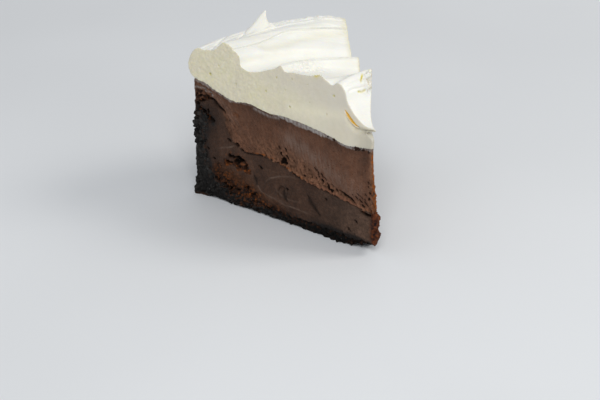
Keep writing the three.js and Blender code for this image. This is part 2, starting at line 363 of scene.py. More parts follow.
FOOT_CRUMBS = [(0, 83.6, 2.2, 1), (0, 80.8, 4.6, 0.7), (0, 74, 4, 0.6)]  # brown: (t, r, z, radius)
TIP_CRUMBS_TOP = [  # black crumbs are pressed up over the fudge by the tip, to this edge
    (3, 4.4), (10, 6.2), (15, 6.8), (20, 6.2), (25, 7), (32, 7), (38, 6.1), (42, 5.2),
]
FOOT_LINE = [  # the crust's lower edge along the first cut
    (4, 4.6), (14.9, 1.4), (22, 0.7), (28.1, 1), (39.7, 0.7), (47.7, 2.9), (59, 1.9), (70.5, 0.9),
    (78.2, 1.6), (84.7, 0.8), (94.6, 1.5), (101.3, 1.4), (108, 0), (114, 0),
]
POROUS_EDGE = [  # the porous fudge reaches from the crust up to this edge
    (46, 5), (51.4, 8), (58.9, 10.8), (67.8, 12.4), (72.9, 15), (76.6, 18.8), (79.8, 21.2),
    (84, 22), (88, 21.4), (93, 22), (97.5, 23.4), (101, 22), (104, 18),
]

# Cream dragged down over the mousse along the first cut, as (s, z, strength).
SMEAR_LINE = [
    (112.6, 61.4, 0.35), (107, 60.9, 0.55), (102.6, 59.9, 0.6), (96.4, 57.7, 0.5), (90, 56, 0.5),
    (83, 56.6, 0.35), (74, 57, 0.15), (64.8, 55.7, 0.3), (58.6, 56, 0.7), (55.4, 55.6, 1),
    (51, 54.8, 0.9), (46.5, 53.9, 0.6), (41.2, 54.2, 0.8), (37.5, 53.8, 1), (33.9, 53.2, 1),
    (28.6, 52.8, 0.5), (24.2, 52, 0.6), (21, 51.5, 1), (16.3, 51.2, 1), (11, 51.8, 0.7),
    (6.8, 52.4, 0.5),
]
# Slits in the near ridge of cream that let light through, as lines of (t, r, z).
THIN_SLITS = [
    [(0.64, 21, 80.6), (0.68, 21.6, 81.6), (0.72, 22.4, 82.8), (0.76, 23, 83.6)],
    [(0.5, 19.6, 76.6), (0.65, 19.1, 76.2), (0.8, 19.4, 77)],
]
# Thin places in the cream, where light showing through is painted amber, as (t, r, z, radius).
THIN_CREAM = [(0, 37, 82.6, 1.3), (0, 35.4, 83.2, 0.8)]

# Pits drawn at random on the second cut: (seed, number, (s low, s high, z low, z high), lengths).
SECOND_CUT_PITS = {
    "fudge": (26, 16, (12, 100, 8, 26), (0.5, 1.5)),
    "mousse": (35, 16, (20, 90, 31, 50), (0.5, 2)),
    "cream": (48, 14, (20, 108, 60, 76), (0.3, 0.7)),
}
PIT_TILTS = (50, 25)  # their mean tilt in degrees and how far it varies
CRUST_PITS = (60, (8, 113, 0.5, 44), (0.5, 1.3))  # on both cuts of the crust, without the seed

# Widths of the scattered bits, in millimetres.
CRUMB_WIDTHS = (1.1, 3.4)
BIT_WIDTHS = (0.4, 1.4)
LEDGE_WIDTHS = (1.2, 3.4)
BIT_PATTERNS = 5  # different lumps, of which the bits are copies
SMALL_BITS = 2.2  # the higher, the more of them are small
FLECKS_ALONG = [(14, 1), (17, 0.05), (26, 0.25), (36, 0)]  # how many mousse flecks, as (s, share)
FLECKS_ABOVE = 51

MATT = 0.12  # the specular level of chocolate and crumbs


# ------------------------------------------------------------------ what a user may change

def length(name, description, default_mm):
    return FloatProperty(name=name, description=description, default=default_mm * MM, min=0.0,
                         unit="LENGTH", subtype="DISTANCE", precision=5)


def colour(name, description, default):
    return FloatVectorProperty(name=name, description=description, default=default, size=3,
                               min=0.0, max=1.0, subtype="COLOR")


def count(name, description, default):
    return IntProperty(name=name, description=description, default=default, min=0)


class MudPieSizes(bpy.types.PropertyGroup):
    """Sizes of the fine relief."""
    cream_grid: length("Cream grid", "Edge length of the even skin on the cream", 0.38)
    chocolate_grid: length("Chocolate grid", "Edge length of the even skin elsewhere", 0.3)
    crumb_size: length("Crumb size", "Width of the crumbs packed in the crust", 2.3)
    crumb_relief: length("Crumb relief", "How far the packed crumbs stand out", 1.1)
    ragged_edge: length("Ragged edge", "How far the crumbs break up the edge of the fudge", 1.3)
    streak_depth: length("Streak depth", "Depth of the knife's upright streaks in the mousse", 0.14)
    torn_relief: length("Torn relief", "Height of the torn fringe of the mousse by the fudge", 1.1)
    pore_depth: length("Pore depth", "Depth of the pores where the fudge meets the crust", 1.4)
    arc_depth: length("Knife arc depth", "Depth of the curved knife marks in the fudge", 0.16)
    fold_height: length("Fold height", "Height of the folds left by the spatula in the cream", 0.9)
    loose_crumbs: count("Loose crumbs", "Crumbs that stand out of the crust", 520)
    torn_bits: count("Torn bits", "Bits of chocolate along the torn seam", 260)


class MudPieColours(bpy.types.PropertyGroup):
    """Base colours of the finishes, as linear values."""
    crumb_dark: colour("Crumb, dark", "Dark cookie crumbs", (0.0135, 0.0128, 0.0120))
    crumb_light: colour("Crumb, light", "The lighter crumbs among them", (0.046, 0.044, 0.041))
    fudge: colour("Fudge", "Smooth cut fudge", (0.071, 0.0360, 0.0220))
    # Its bright orange is partly painted highlight on the raised crumbs.
    fudge_porous: colour("Fudge, porous", "Bright bits of the porous fudge", (0.240, 0.062, 0.006))
    mousse: colour("Mousse", "Cut chocolate mousse", (0.118, 0.0555, 0.0325))
    mousse_torn: colour("Mousse, torn", "Torn mousse above the seam", (0.215, 0.094, 0.050))
    # Also painted light round the mousse's tip.
    mousse_edge: colour("Mousse, edge", "The thin edges of the torn mousse", (0.300, 0.082, 0.012))
    # Painted sheen on the cut mousse.
    mousse_sheen: colour("Mousse, bloom", "The pale patch on the cut mousse", (0.195, 0.128, 0.099))
    cream: colour("Cream", "The spread top of the cream", (0.900, 0.885, 0.820))
    cream_cut: colour("Cream, cut", "The cream where it is cut", (0.718, 0.668, 0.446))
    cream_thin: colour("Cream, thin", "Thin folds with light behind them", (0.660, 0.540, 0.060))


# ------------------------------------------------------------------ sections

def guide_points(guides, t):
    """The guide points (r, z) of a boundary at turn t."""
    ways = [t ** (guide[4] if len(guide) > 4 else 1.0) for guide in guides]
    ends = np.array([guide[:4] for guide in guides])
    way = np.array(ways)[:, None]
    return ends[:, :2] * (1 - way) + ends[:, 2:] * way


def smooth_curve(knots, per_span):
    """A centripetal Catmull-Rom curve through the knots, with per_span samples for each span."""
    ends = [2 * knots[0] - knots[1], 2 * knots[-1] - knots[-2]]
    row = np.vstack([ends[:1], knots, ends[1:]])
    samples = []
    for a, b, c, d in zip(row, row[1:], row[2:], row[3:]):
        ta = 0.0
        tb = ta + math.dist(a, b) ** 0.5
        tc = tb + math.dist(b, c) ** 0.5
        td = tc + math.dist(c, d) ** 0.5
        t = np.linspace(tb, tc, per_span, endpoint=False)[:, None]
        ab = (a * (tb - t) + b * (t - ta)) / (tb - ta)
        bc = (b * (tc - t) + c * (t - tb)) / (tc - tb)
        cd = (c * (td - t) + d * (t - tc)) / (td - tc)
        abc = (ab * (tc - t) + bc * (t - ta)) / (tc - ta)
        bcd = (bc * (td - t) + cd * (t - tb)) / (td - tb)
        samples.append((abc * (tc - t) + bcd * (t - tb)) / (tc - tb))
    return np.vstack(samples + [knots[-1:]])


def boundary(guides, t, offset=0.0, per_span=4):
    """The boundary at turn t as section points, raised above itself by offset."""
    curve = smooth_curve(guide_points(guides, t), per_span)
    along = np.gradient(curve, axis=0)
    along /= np.linalg.norm(along, axis=1)[:, None]
    return curve + offset * np.column_stack([-along[:, 1], along[:, 0]])


def crust_section(t):
    wall = [(CRUST_WALL_RADIUS, z) for z in np.linspace(*CRUST_WALL_HEIGHTS, CRUST_WALL_POINTS)]
    return np.vstack([CRUST_UNDERSIDE, wall, boundary(CRUST_INSIDE, t, LAYER_OVERLAP)[::-1]])


def fudge_section(t):
    below = boundary(CRUST_INSIDE, t, -LAYER_OVERLAP)
    above = boundary(FUDGE_TOP, t, LAYER_OVERLAP)
    return np.vstack([below, above[::-1], FUDGE_TIP])


def mousse_section(t):
    below = boundary(FUDGE_TOP, t, -LAYER_OVERLAP)
    above = boundary(MOUSSE_TOP, t, LAYER_OVERLAP)
    return np.vstack([below, MOUSSE_RIM, above[::-1], MOUSSE_TIP])


def smooth_step(value, low, high):
    """0 up to low, 1 from high on, and an even rise between them."""
    share = np.clip((value - low) / (high - low), 0.0, 1.0)
    return share * share * (3 - 2 * share)


def bell(gap, width):
    """1 where the gap is 0, fading out on both sides; a third is left where it is one width."""
    return np.exp(-(gap / width) ** 2)


def most(*masks):
    """The highest of the masks at each point."""
    return np.maximum.reduce(masks)


def value_at(line, place):
    """The height of a line of (place, value) corners at each place."""
    return np.interp(place, *np.array(line).T)


def peak_rise(r, t):
    """The hooked peak's height over the rim: long on one side, steep on the other, thin across."""
    along = (t - PEAK_TURN) * SLICE_ANGLE * PEAK_RADIUS
    reach = np.where(along < 0, PEAK_SLOPES[0], PEAK_SLOPES[1])
    fall = np.clip(1 - np.abs(along) / reach, 0, 1)
    across = bell(r - PEAK_RADIUS, PEAK_THICKNESS)
    place, rise, wide = PEAK_LUMP
    lump = rise * bell(along - place, wide)
    return (PEAK_HEIGHT * fall ** 1.8 + lump) * across


def cream_section(t):
    below = boundary(MOUSSE_TOP, t, -LAYER_OVERLAP)
    above = boundary(CREAM_TOP, t, per_span=6)
    r, z = above.T
    outward = smooth_step(r, *RIM_SWELL_RADII)
    upward = smooth_step(z, *RIM_SWELL_HEIGHTS)
    swell = value_at(RIM_SWELL, t) * outward * upward
    return np.vstack([below, np.column_stack([r, z + swell + upward * peak_rise(r, t)])[::-1]])


# ------------------------------------------------------------------ places in the slice

def tip_lean(r, z):
    """How far the soft upper tip is pulled from its own turn towards the first cut, from 0 to 1."""
    nearness = np.clip(1 - r / TIP_LEAN_REACH, 0, 1)
    return TIP_LEAN_SHARE * nearness ** 2 * smooth_step(z, *TIP_LEAN_HEIGHTS)


def in_slice(r, z, t):
    """Points in millimetres for section points (r, z) at turn t."""
    angle = (t * (1 - tip_lean(r, z)) - 0.5) * SLICE_ANGLE
    return np.column_stack([r * np.sin(angle), AXIS_Y + r * np.cos(angle), z])


def cut_normal(cut):
    """The outward normal of the first cut (cut 0) or the second (cut 1)."""
    half = SLICE_ANGLE / 2
    return np.array([math.cos(half) * (1 if cut else -1), -math.sin(half), 0.0])


class Skin:
    """The points of a piece's mesh, in millimetres, with their place in the slice."""

    def __init__(self, piece):
        self.mesh = piece.data
        count = len(self.mesh.vertices)
        places = np.empty(count * 3)
        self.mesh.vertices.foreach_get("co", places)
        self.points = places.reshape(-1, 3) / MM
        normals = np.empty(count * 3)
        self.mesh.vertex_normals.foreach_get("vector", normals)
        self.normals = normals.reshape(-1, 3)
        x, y, self.z = self.points.T
        self.r = np.hypot(x, y - AXIS_Y)
        turn = np.arctan2(x, y - AXIS_Y) / SLICE_ANGLE + 0.5
        lean = tip_lean(self.r, self.z)
        self.t = np.clip(turn / (1 - lean), 0, 1)
        self.depths = (
            self.r * SLICE_ANGLE * np.maximum(turn, 0),
            self.r * SLICE_ANGLE * (1 - self.t) * (1 - lean),
        )

    def near_cut(self, cut, deep=MASK_DEPTH):
        """Which points lie on a cut face or less than deep behind it, from 0 to 1."""
        return 1 - smooth_step(self.depths[cut], 0.5 * deep, deep)

    def near_cuts(self, deep=MASK_DEPTH):
        return np.maximum(self.near_cut(0, deep), self.near_cut(1, deep))

    def on_cut(self, cut, deep=CUT_FACE_DEPTH):
        """Which points lie on a cut face, or in a hollow of it, and face out of it, from 0 to 1."""
        return smooth_step(self.normals @ cut_normal(cut), 0.2, 0.6) * self.near_cut(cut, deep)

    def beyond(self, first, second):
        """0 inside the first radius, 1 outside the second."""
        return smooth_step(self.r, first, second)

    def within(self, first, second):
        """1 inside the first radius, 0 outside the second."""
        return 1 - smooth_step(self.r, first, second)

    def higher(self, first, second):
        """0 below the first height, 1 above the second."""
        return smooth_step(self.z, first, second)

    def lower(self, first, second):
        """1 below the first height, 0 above the second."""
        return 1 - smooth_step(self.z, first, second)

    @cached_property
    def on_cuts(self):
        return np.maximum(self.on_cut(0), self.on_cut(1))

    @cached_property
    def flat(self):
        """Places in a cut face, as (s, z), set apart for each cut."""
        return np.column_stack([self.r, self.z, 60.0 * (self.t > 0.5)])

    def gap(self, line):
        """The distance from a line of (s, z) corners."""
        return line_distance(self.r, self.z, line)[0]

    @cached_property
    def from_seam(self):
        """The distance of points near a cut from the seam between the fudge and the mousse."""
        return np.where(self.t < 0.5, *[self.gap(boundary(FUDGE_TOP, t)) for t in (0, 1)])

    def above(self, line):
        """How high each point lies above a line of (s, z) corners."""
        return self.z - value_at(line, self.r)

    def grain(self, size, seed, octaves=2):
        """Smooth noise at the piece's points; see grain() below."""
        return grain(self.points, size, seed, octaves)

    def move(self, shift):
        """Moves every point by shift, in millimetres."""
        self.points += shift
        self.mesh.vertices.foreach_set("co", (self.points * MM).ravel())
        self.mesh.update()

    def push(self, height):
        """Moves every point out along its normal by height, in millimetres."""
        self.move(self.normals * height[:, None])

    def mark(self, name, *masks):
        """Stores the highest of the masks on the mesh, for a material to read."""
        attribute = self.mesh.attributes.new(name, "FLOAT", "POINT")
        attribute.data.foreach_set("value", np.clip(most(*masks), 0, 1).astype(np.float32))


def grain(places, size, seed=0, octaves=2):
    """Smooth noise from about -1 to 1 with lumps of this size, which may differ for each axis."""
    scaled = places / np.asarray(size, dtype=float) + (17.31 * seed, 5.77 * seed, 9.13 * seed)
    return np.array([noise.fractal(Vector(place), 0.9, 2.1, octaves) for place in scaled])


def lumps(places, size, seed=0):
    """Rounded lumps packed like crumbs, each as high as chance makes it, and 0 in the gaps."""
    scaled = places / size + (3.7 * seed, 11.9 * seed, 7.3 * seed)
    nearest = [noise.voronoi(Vector(place)) for place in scaled]
    first, second = np.array([distances[:2] for distances, _ in nearest]).T
    middles = np.array([tuple(middle[0]) for _, middle in nearest])
    chance = np.modf(np.abs(np.sin(middles @ (12.99, 78.23, 37.72))) * 437.585)[0]
    return (0.35 + 0.65 * chance) * smooth_step(second - first, 0.0, 0.4) * (1 - 0.5 * first ** 2)


def line_distance(u, v, line):
    """The distance from points (u, v) to a line of corners, and how far along the line, 0 to 1."""
    corners = np.array([corner[:2] for corner in line], dtype=float)
    best = np.full(u.shape, np.inf)
    share = np.zeros(u.shape)
    for i, (start, end) in enumerate(zip(corners, corners[1:])):
        span = end - start
        along = np.clip(((u - start[0]) * span[0] + (v - start[1]) * span[1]) / (span @ span), 0, 1)
        gap = np.hypot(u - start[0] - along * span[0], v - start[1] - along * span[1])
        closer = gap < best
        best = np.where(closer, gap, best)
        share = np.where(closer, (i + along) / (len(corners) - 1), share)
    return best, share


# ------------------------------------------------------------------ modelling tools

def deselect_all():
    if bpy.context.mode != "OBJECT":
        bpy.ops.object.mode_set(mode="OBJECT")
    bpy.ops.object.select_all(action="DESELECT")


def make_active(piece):
    deselect_all()
    piece.select_set(True)
    bpy.context.view_layer.objects.active = piece


def set_points(piece, points):
    """Gives the piece's mesh new points, in millimetres."""
    piece.data.vertices.foreach_set("co", (points * MM).ravel())
    piece.data.update()


def apply_modifier(piece, kind, **settings):
    make_active(piece)
    modifier = piece.modifiers.new(kind.title(), kind)
    for name, value in settings.items():
        setattr(modifier, name, value)
    bpy.ops.object.modifier_apply(modifier=modifier.name)


@contextmanager
def editing():
    """Edit mode, with the whole of the active piece selected."""
    bpy.ops.object.mode_set(mode="EDIT")
    bpy.ops.mesh.select_all(action="SELECT")
    yield
    bpy.ops.object.mode_set(mode="OBJECT")


def turn_faces_out():
    bpy.ops.mesh.select_all(action="SELECT")
    bpy.ops.mesh.normals_make_consistent(inside=False)


def roll_layer(name, section_at, stations=LAYER_STATIONS):
    """A flat grid rolled round the pie's axis, with one column for each point of the section."""
    sections = np.array([section_at(k / stations) for k in range(stations + 1)])
    columns = sections.shape[1]
    deselect_all()
    bpy.ops.mesh.primitive_grid_add(x_subdivisions=columns, y_subdivisions=stations, size=1)
    piece = bpy.context.object
    piece.name = piece.data.name = name
    flat = np.empty(len(piece.data.vertices) * 3)
    piece.data.vertices.foreach_get("co", flat)
    flat = flat.reshape(-1, 3)
    column = np.rint((flat[:, 0] + 0.5) * columns).astype(int) % columns
    station = np.rint((flat[:, 1] + 0.5) * stations).astype(int)
    r, z = sections[station, column].T
    set_points(piece, in_slice(r, z, station / stations))
    with editing():
        bpy.ops.mesh.remove_doubles(threshold=WELD_DISTANCE * MM)
        bpy.ops.mesh.fill_holes(sides=0)
        turn_faces_out()
    return piece


def bring_down(piece, within=""):
    """Thins the mesh towards LAYER_TRIANGLES where it is smoothest, or within a vertex group."""
    piece.data.calc_loop_triangles()
    share = LAYER_TRIANGLES / len(piece.data.loop_triangles)
    if share < 1:
        apply_modifier(piece, "DECIMATE", ratio=share, vertex_group=within)


def even_skin(piece, grid):
    """Covers the piece with a fine, even skin, thinned inside, where the layers touch."""
    apply_modifier(piece, "REMESH", mode="VOXEL", voxel_size=grid, adaptivity=0.0)
    skin = Skin(piece)
    under_cream = skin.z < value_at(boundary(MOUSSE_TOP, 0.5), skin.r) + 1
    low, high = INSIDE_RADII
    behind_cuts = np.minimum(*skin.depths) > INSIDE_DEPTH
    inside = under_cream & behind_cuts & (skin.r > low) & (skin.r < high)
    group = piece.vertex_groups.new(name="Inside")
    group.add(np.flatnonzero(inside).tolist(), 1.0, "REPLACE")
    bring_down(piece, group.name)
    piece.vertex_groups.clear()


def finish_piece(piece, material, slot, *nodes):
    """Smooth shading, the material, and what the piece rides on and stands for."""
    make_active(piece)
    bpy.ops.object.shade_smooth()
    piece.data.materials.clear()
    piece.data.materials.append(material)
    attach(piece, "root")
    if nodes:
        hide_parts(*nodes)


# ------------------------------------------------------------------ relief

def pits(skin, cut, marks, ragged=0.25):
    """How deep the pits of a cut are, for marks (s, z, radius) or (s, z, long, short, tilt)."""
    depth = np.zeros(len(skin.r))
    bend = ragged * skin.grain(1.7, 61)
    for s, z, long, *rest in marks:
        short, tilt = rest or (long, 0)
        turn = math.radians(tilt)
        u = (skin.r - s) * math.cos(turn) + (skin.z - z) * math.sin(turn) + bend
        v = (skin.z - z) * math.cos(turn) - (skin.r - s) * math.sin(turn) - bend
        fill = np.clip(1.15 - (u / long) ** 2 - (v / short) ** 2, 0, 1)
        depth = most(depth, fill ** 0.5 * (0.5 + 1.2 * short))
    return depth * skin.near_cut(cut, PIT_DEPTH)


def random_pits(seed, number, region, lengths):
    """Slits and holes scattered over a region (s low, s high, z low, z high) of a cut face."""
    draw = random.Random(seed)
    s_low, s_high, z_low, z_high = region
    marks = []
    for _ in range(number):
        long = lengths[0] + (lengths[1] - lengths[0]) * draw.random() ** 2
        place = (draw.uniform(s_low, s_high), draw.uniform(z_low, z_high))
        marks.append((*place, long, long * draw.uniform(0.35, 0.8), draw.gauss(*PIT_TILTS)))
    return marks


def crease(skin, line, width):
    """1 along a line over the cream's top, fading out over width and at the line's ends."""
    t, r, z = np.array(line, dtype=float).T
    gap = np.hypot(skin.r - np.interp(skin.t, t, r), skin.z - np.interp(skin.t, t, z))
    ends = np.ones(len(gap))
    if t[0] > 0:
        ends *= smooth_step(skin.t, t[0] - 0.02, t[0] + 0.06)
    if t[-1] < 1:
        ends *= 1 - smooth_step(skin.t, t[-1] - 0.06, t[-1] + 0.02)
    return bell(gap, width) * ends


def fold(skin, line, reach):
    """A lapped edge along a line: raised on the rim's side, with a sharp groove at its foot."""
    t, r, _ = np.array(line, dtype=float).T
    outward = skin.r - np.interp(skin.t, t, r)
    lip = smooth_step(outward, -0.3, 0.3) * np.exp(-np.maximum(outward, 0) / reach)
    groove = bell(outward + 0.4, 0.4)
    return (lip - 0.5 * groove) * np.minimum(1, 1.6 * crease(skin, line, reach))


def near_boundary(skin, guides, reach):
    """1 on a boundary of the layers, fading out over reach."""
    first, second = (bell(skin.gap(boundary(guides, t)), reach) for t in (0, 1))
    return first * (1 - skin.t) + second * skin.t


def break_up(skin, guides, reach, size, amount):
    """Makes a boundary ragged. The pieces on both of its sides are given the same shifts."""
    close = near_boundary(skin, guides, reach)
    outward = amount * close * skin.grain(size, 81, 3)
    upward = amount * close * skin.grain(size, 82, 3)
    angle = (skin.t - 0.5) * SLICE_ANGLE
    skin.move(np.column_stack([outward * np.sin(angle), outward * np.cos(angle), upward]))


def roughen_crust_edge(skin, sizes):
    break_up(skin, CRUST_INSIDE, 2.6, 3.2, sizes.ragged_edge / MM)


def roughen_seam(skin, sizes):
    break_up(skin, FUDGE_TOP, 2.0, 3.0, 0.5 * sizes.ragged_edge / MM)


def wall_knobs(skin):
    """Height of the lumps that stand out of the crust's wall by the first cut."""
    at_wall = skin.beyond(109, 112.5) * bell(skin.depths[0], 2.6)
    knobs = [
        rise * np.clip(1.1 - ((skin.z - z) / wide) ** 2, 0, 1) ** 0.5
        for z, rise, wide in WALL_KNOBS
    ]
    return most(*knobs) * at_wall


def lift_foot(skin):
    """Raises the crust's lower edge unevenly, so that it overhangs the table."""
    lift = 0.6 * value_at(FOOT_LINE, skin.r) * skin.near_cut(0, 7)
    uneven = np.maximum(grain(skin.points * (1, 1, 0.2), 3.4, 6, 3), 0)
    edge = np.maximum(skin.near_cuts(6), skin.beyond(108, 112))
    lift += 1.1 * uneven * edge * (1 - 0.8 * skin.beyond(104, 109))
    lift *= 1 - 0.5 * skin.beyond(12, 22) * skin.within(60, 70)
    rise = lift * skin.lower(0, 5)
    rise = np.maximum(rise, -skin.points[:, 2])
    skin.move(np.column_stack([np.zeros((len(rise), 2)), rise]))


def crust_relief(skin, sizes):
    crumb = sizes.crumb_size / MM
    coarse = lumps(skin.points, crumb, 1)
    fine = lumps(skin.points, 0.45 * crumb, 2)
    skin.mark("raised", 0.7 * coarse + 0.4 * fine)
    rough_patches = smooth_step(skin.grain(8, 3, 1), -0.5, 0.5)
    under = smooth_step(-skin.normals[:, 2], 0.5, 0.9)
    base = skin.lower(6, 12)
    wall_top = skin.higher(24, 30) * skin.beyond(110, 112)
    share = 1 - (0.5 - 0.55 * base) * skin.on_cuts + 0.4 * wall_top - 0.8 * under
    share = np.clip(share, 0.15, 1.4)
    height = (coarse * (0.5 + 0.7 * rough_patches) + 0.4 * fine - 0.6) * share
    height += 0.3 * skin.grain(5, 4)
    height *= sizes.crumb_relief / MM
    height -= skin.on_cuts * base * 0.9 * np.maximum(skin.grain(5, 5, 2), 0)
    for cut in (0, 1):
        height -= pits(skin, cut, random_pits(11 + cut, *CRUST_PITS))
    skin.push(height + wall_knobs(skin))
    lift_foot(skin)


def porous_share(skin):
    """Where the fudge by the crust is porous, from 0 to 1."""
    above = skin.above(POROUS_EDGE) + 1.5 * skin.grain(4, 21)
    beyond = np.maximum(POROUS_EDGE[0][0] - skin.r, skin.r - POROUS_EDGE[-1][0])
    return (1 - smooth_step(np.maximum(above, 2 * beyond), -7, 0.6)) * skin.near_cuts()


def crumbly_share(skin):
    """How far the porous fudge is broken into crumbs, from 0 to 1: most by the crust."""
    reach = 6.5 + 4 * skin.beyond(78, 90)
    return porous_share(skin) * (0.2 + 0.8 * near_boundary(skin, CRUST_INSIDE, reach))


def tip_crumbs_share(skin):
    """Where black crumbs are pressed up over the fudge by the tip, from 0 to 1."""
    above = skin.above(TIP_CRUMBS_TOP) + 0.6 * skin.grain(1.8, 67, 3)
    along = skin.beyond(4, 8) * skin.within(36, 44)
    return (1 - smooth_step(above, -1.1, 1.3)) * along * skin.near_cut(0)


def seam_ridge(skin, gap):
    """The thin ridge of mousse along the seam by the tip, from 0 to 1; gap is how far off it is."""
    along = skin.beyond(7, 10) * skin.within(36, 48)
    return along * bell(gap, 0.42) * skin.on_cuts


def torn_share(skin):
    """Where the chocolate is torn by the rim and over the crust's wall, from 0 to 1."""
    ragged = 0.9 * skin.grain(2.5, 28)
    corner = 1 - smooth_step(skin.gap(TORN_CORNER) + ragged, 1.8, 3.8)
    wall_top = 1 - smooth_step(skin.gap(TORN_WALL_TOP) + ragged, 0.8, 2.6)
    return np.maximum(corner, wall_top) * skin.near_cuts()


def cracks(skin, lines, width):
    """1 along the cracks of the first cut, each fading out towards its ends."""
    masks = []
    ragged = 0.25 * skin.grain(1.6, 27, 1)
    for line in lines:
        gap, share = line_distance(skin.r, skin.z, line)
        taper = width * (0.35 + 0.65 * np.sin(math.pi * np.clip(share, 0.05, 0.95)))
        masks.append(bell(gap + ragged, taper))
    return most(*masks) * skin.near_cut(0, PIT_DEPTH)


def knife_arcs(skin):
    """For each curved knife mark: the distance from it, and its strength, from 0 to 1."""
    for arc in KNIFE_ARCS:
        gap, share = line_distance(skin.r, skin.z, arc)
        yield gap, np.sin(math.pi * np.clip(share, 0.04, 0.96))


def torn_surface(skin):
    """Height of torn chocolate: flakes and crumbs with holes between them."""
    torn = 0.6 * lumps(skin.points, 1.7, 24) + 0.9 * lumps(skin.points, 3.9, 29) - 0.75
    return torn + 0.5 * skin.grain(1.5, 25, 3)


def bubble_rims(skin):
    """1 round the edge of each large bubble in the first cut, most along its top."""
    rims = []
    for s, z, wide, high in FUDGE_BUBBLES:
        across, upward = (skin.r - s) / wide, (skin.z - z) / high
        away = np.hypot(across, upward)
        light = 0.55 + 0.45 * np.clip(upward + 0.4 * across, -1, 1)
        rims.append(bell(away - 1, 0.2) * light)
    return most(*rims) * skin.near_cut(0)


def swirls(skin):
    """Fine curved lines that the knife drew through the fudge, from about -1 to 1."""
    s, z, apart = skin.flat.T
    bent = z + 5 * grain(skin.flat, (15, 11, 1), 54, 1) + 0.25 * s
    return grain(np.column_stack([s / 14, bent / 1.1, apart]), 1.0, 55)


def fudge_relief(skin, sizes):
    first = skin.on_cut(0)
    height = 0.22 * skin.grain(9, 22, 1) + 0.06 * skin.grain(1.3, 23)
    height += 0.07 * swirls(skin) * skin.on_cuts
    torn = most(crumbly_share(skin), torn_share(skin), 0.4 * tip_crumbs_share(skin)) * skin.on_cuts
    rough = torn_surface(skin)
    skin.mark("raised", 0.5 + 0.5 * rough)
    height += torn * rough * sizes.pore_depth / MM + 1.3 * spots(skin, LEDGE_LUMPS)
    for gap, strength in knife_arcs(skin):
        height -= first * strength * bell(gap, 0.4) * sizes.arc_depth / MM
    height -= 0.15 * cracks(skin, KNIFE_NICKS, 1.5) + 0.6 * bubble_rims(skin)
    height -= pits(skin, 0, FUDGE_HOLLOWS) + 0.7 * seam_ridge(skin, skin.from_seam - 0.3)
    height -= pits(skin, 1, random_pits(*SECOND_CUT_PITS["fudge"]))
    height -= 1.5 * pits(skin, 0, FUDGE_VOID, VOID_RAGGEDNESS)
    height -= 2 * cracks(skin, SEAM_CRACKS, CRACK_WIDTH)
    skin.push(height)


def flakes(skin):
    """Ridges torn slantwise, as (s, z) patterns, from about -1 to 1."""
    along = (0.64 * skin.r + 0.77 * skin.z) / 3.1
    across = (0.77 * skin.r - 0.64 * skin.z) / 1.05
    ridges = grain(np.column_stack([along, across, 9.0 * (skin.t > 0.5)]), 1.0, 34)
    return 1.3 * ridges + 0.5 * skin.grain(1.2, 37, 3)


def seam_shadow(skin):
    """The dark broken line where the mousse meets the fudge, from 0 to 1."""
    along = skin.beyond(38, 50) * skin.within(84, 90)
    broken = smooth_step(grain(skin.flat, (2.4, 2.4, 1), 66), -0.05, 0.2)
    return 0.75 * along * broken * bell(skin.from_seam, 0.5) * skin.on_cuts


def hatched_share(skin):
    """Where the mousse above the seam is finely torn by the knife, from 0 to 1."""
    along = skin.beyond(30, 44) * (1 - 0.6 * skin.beyond(64, 80))
    above = skin.from_seam + 2 * skin.grain(4, 40)
    return along * (1 - smooth_step(above, 5, 14)) * skin.on_cuts


def seam_fringe(skin):
    """The torn band of mousse above the seam, from 0 to 1, widest halfway to the tip."""
    wide = 0.8 + 3.2 * bell(skin.r - 34, 20)
    wide *= 1 - 0.75 * skin.beyond(66, 78)
    ragged = skin.from_seam + 0.9 * grain(skin.flat, (2.6, 1.6, 1), 36)
    near = skin.near_cuts() * skin.within(84, 90)
    return (1 - smooth_step(ragged, 0.5 * wide, 1.6 * wide)) * near


def tip_share(skin):
    """The rough edge of the mousse at the tip, from 0 to 1."""
    return 1 - smooth_step(skin.r + 0.6 * skin.grain(2, 62), 4.4, 6.4)


def mousse_relief(skin, sizes):
    s, z, apart = skin.flat.T
    leaning = np.column_stack([s * (1 - STREAK_LEAN * z), z, apart])
    streaks = 0.7 * grain(leaning, (1.5, 7, 1), 31) + grain(leaning, (5, 16, 1), 32, 1)
    height = skin.on_cuts * streaks * sizes.streak_depth / MM
    height += 0.25 * skin.grain(9, 33, 1) + 0.05 * skin.grain(1.1, 38)
    slanted = flakes(skin)
    skin.mark("raised", 0.42 + 1.5 * slanted)
    nearby = bell(skin.from_seam, 6) * skin.on_cuts
    above_edge = 0.4 + 0.6 * smooth_step(skin.from_seam, 0.2, 1.6)
    fringe = seam_fringe(skin) * skin.on_cuts * above_edge
    torn = 0.26 * nearby + 0.42 * hatched_share(skin) + fringe
    height += torn * slanted * sizes.torn_relief / MM
    low_tip = 0.45 * tip_share(skin) * skin.lower(34, 48)
    rough = most(torn_share(skin), low_tip)
    height += rough * skin.on_cuts * torn_surface(skin) * sizes.pore_depth / MM
    height += 0.75 * seam_ridge(skin, skin.from_seam - 0.5 + 0.5 * skin.grain(2.4, 39))
    height -= pits(skin, 0, MOUSSE_HOLLOWS) + 0.4 * pits(skin, 0, RUSTY_PITS)
    height -= pits(skin, 1, random_pits(*SECOND_CUT_PITS["mousse"]))
    height -= 2 * cracks(skin, SEAM_CRACKS, CRACK_WIDTH)
    skin.push(height)


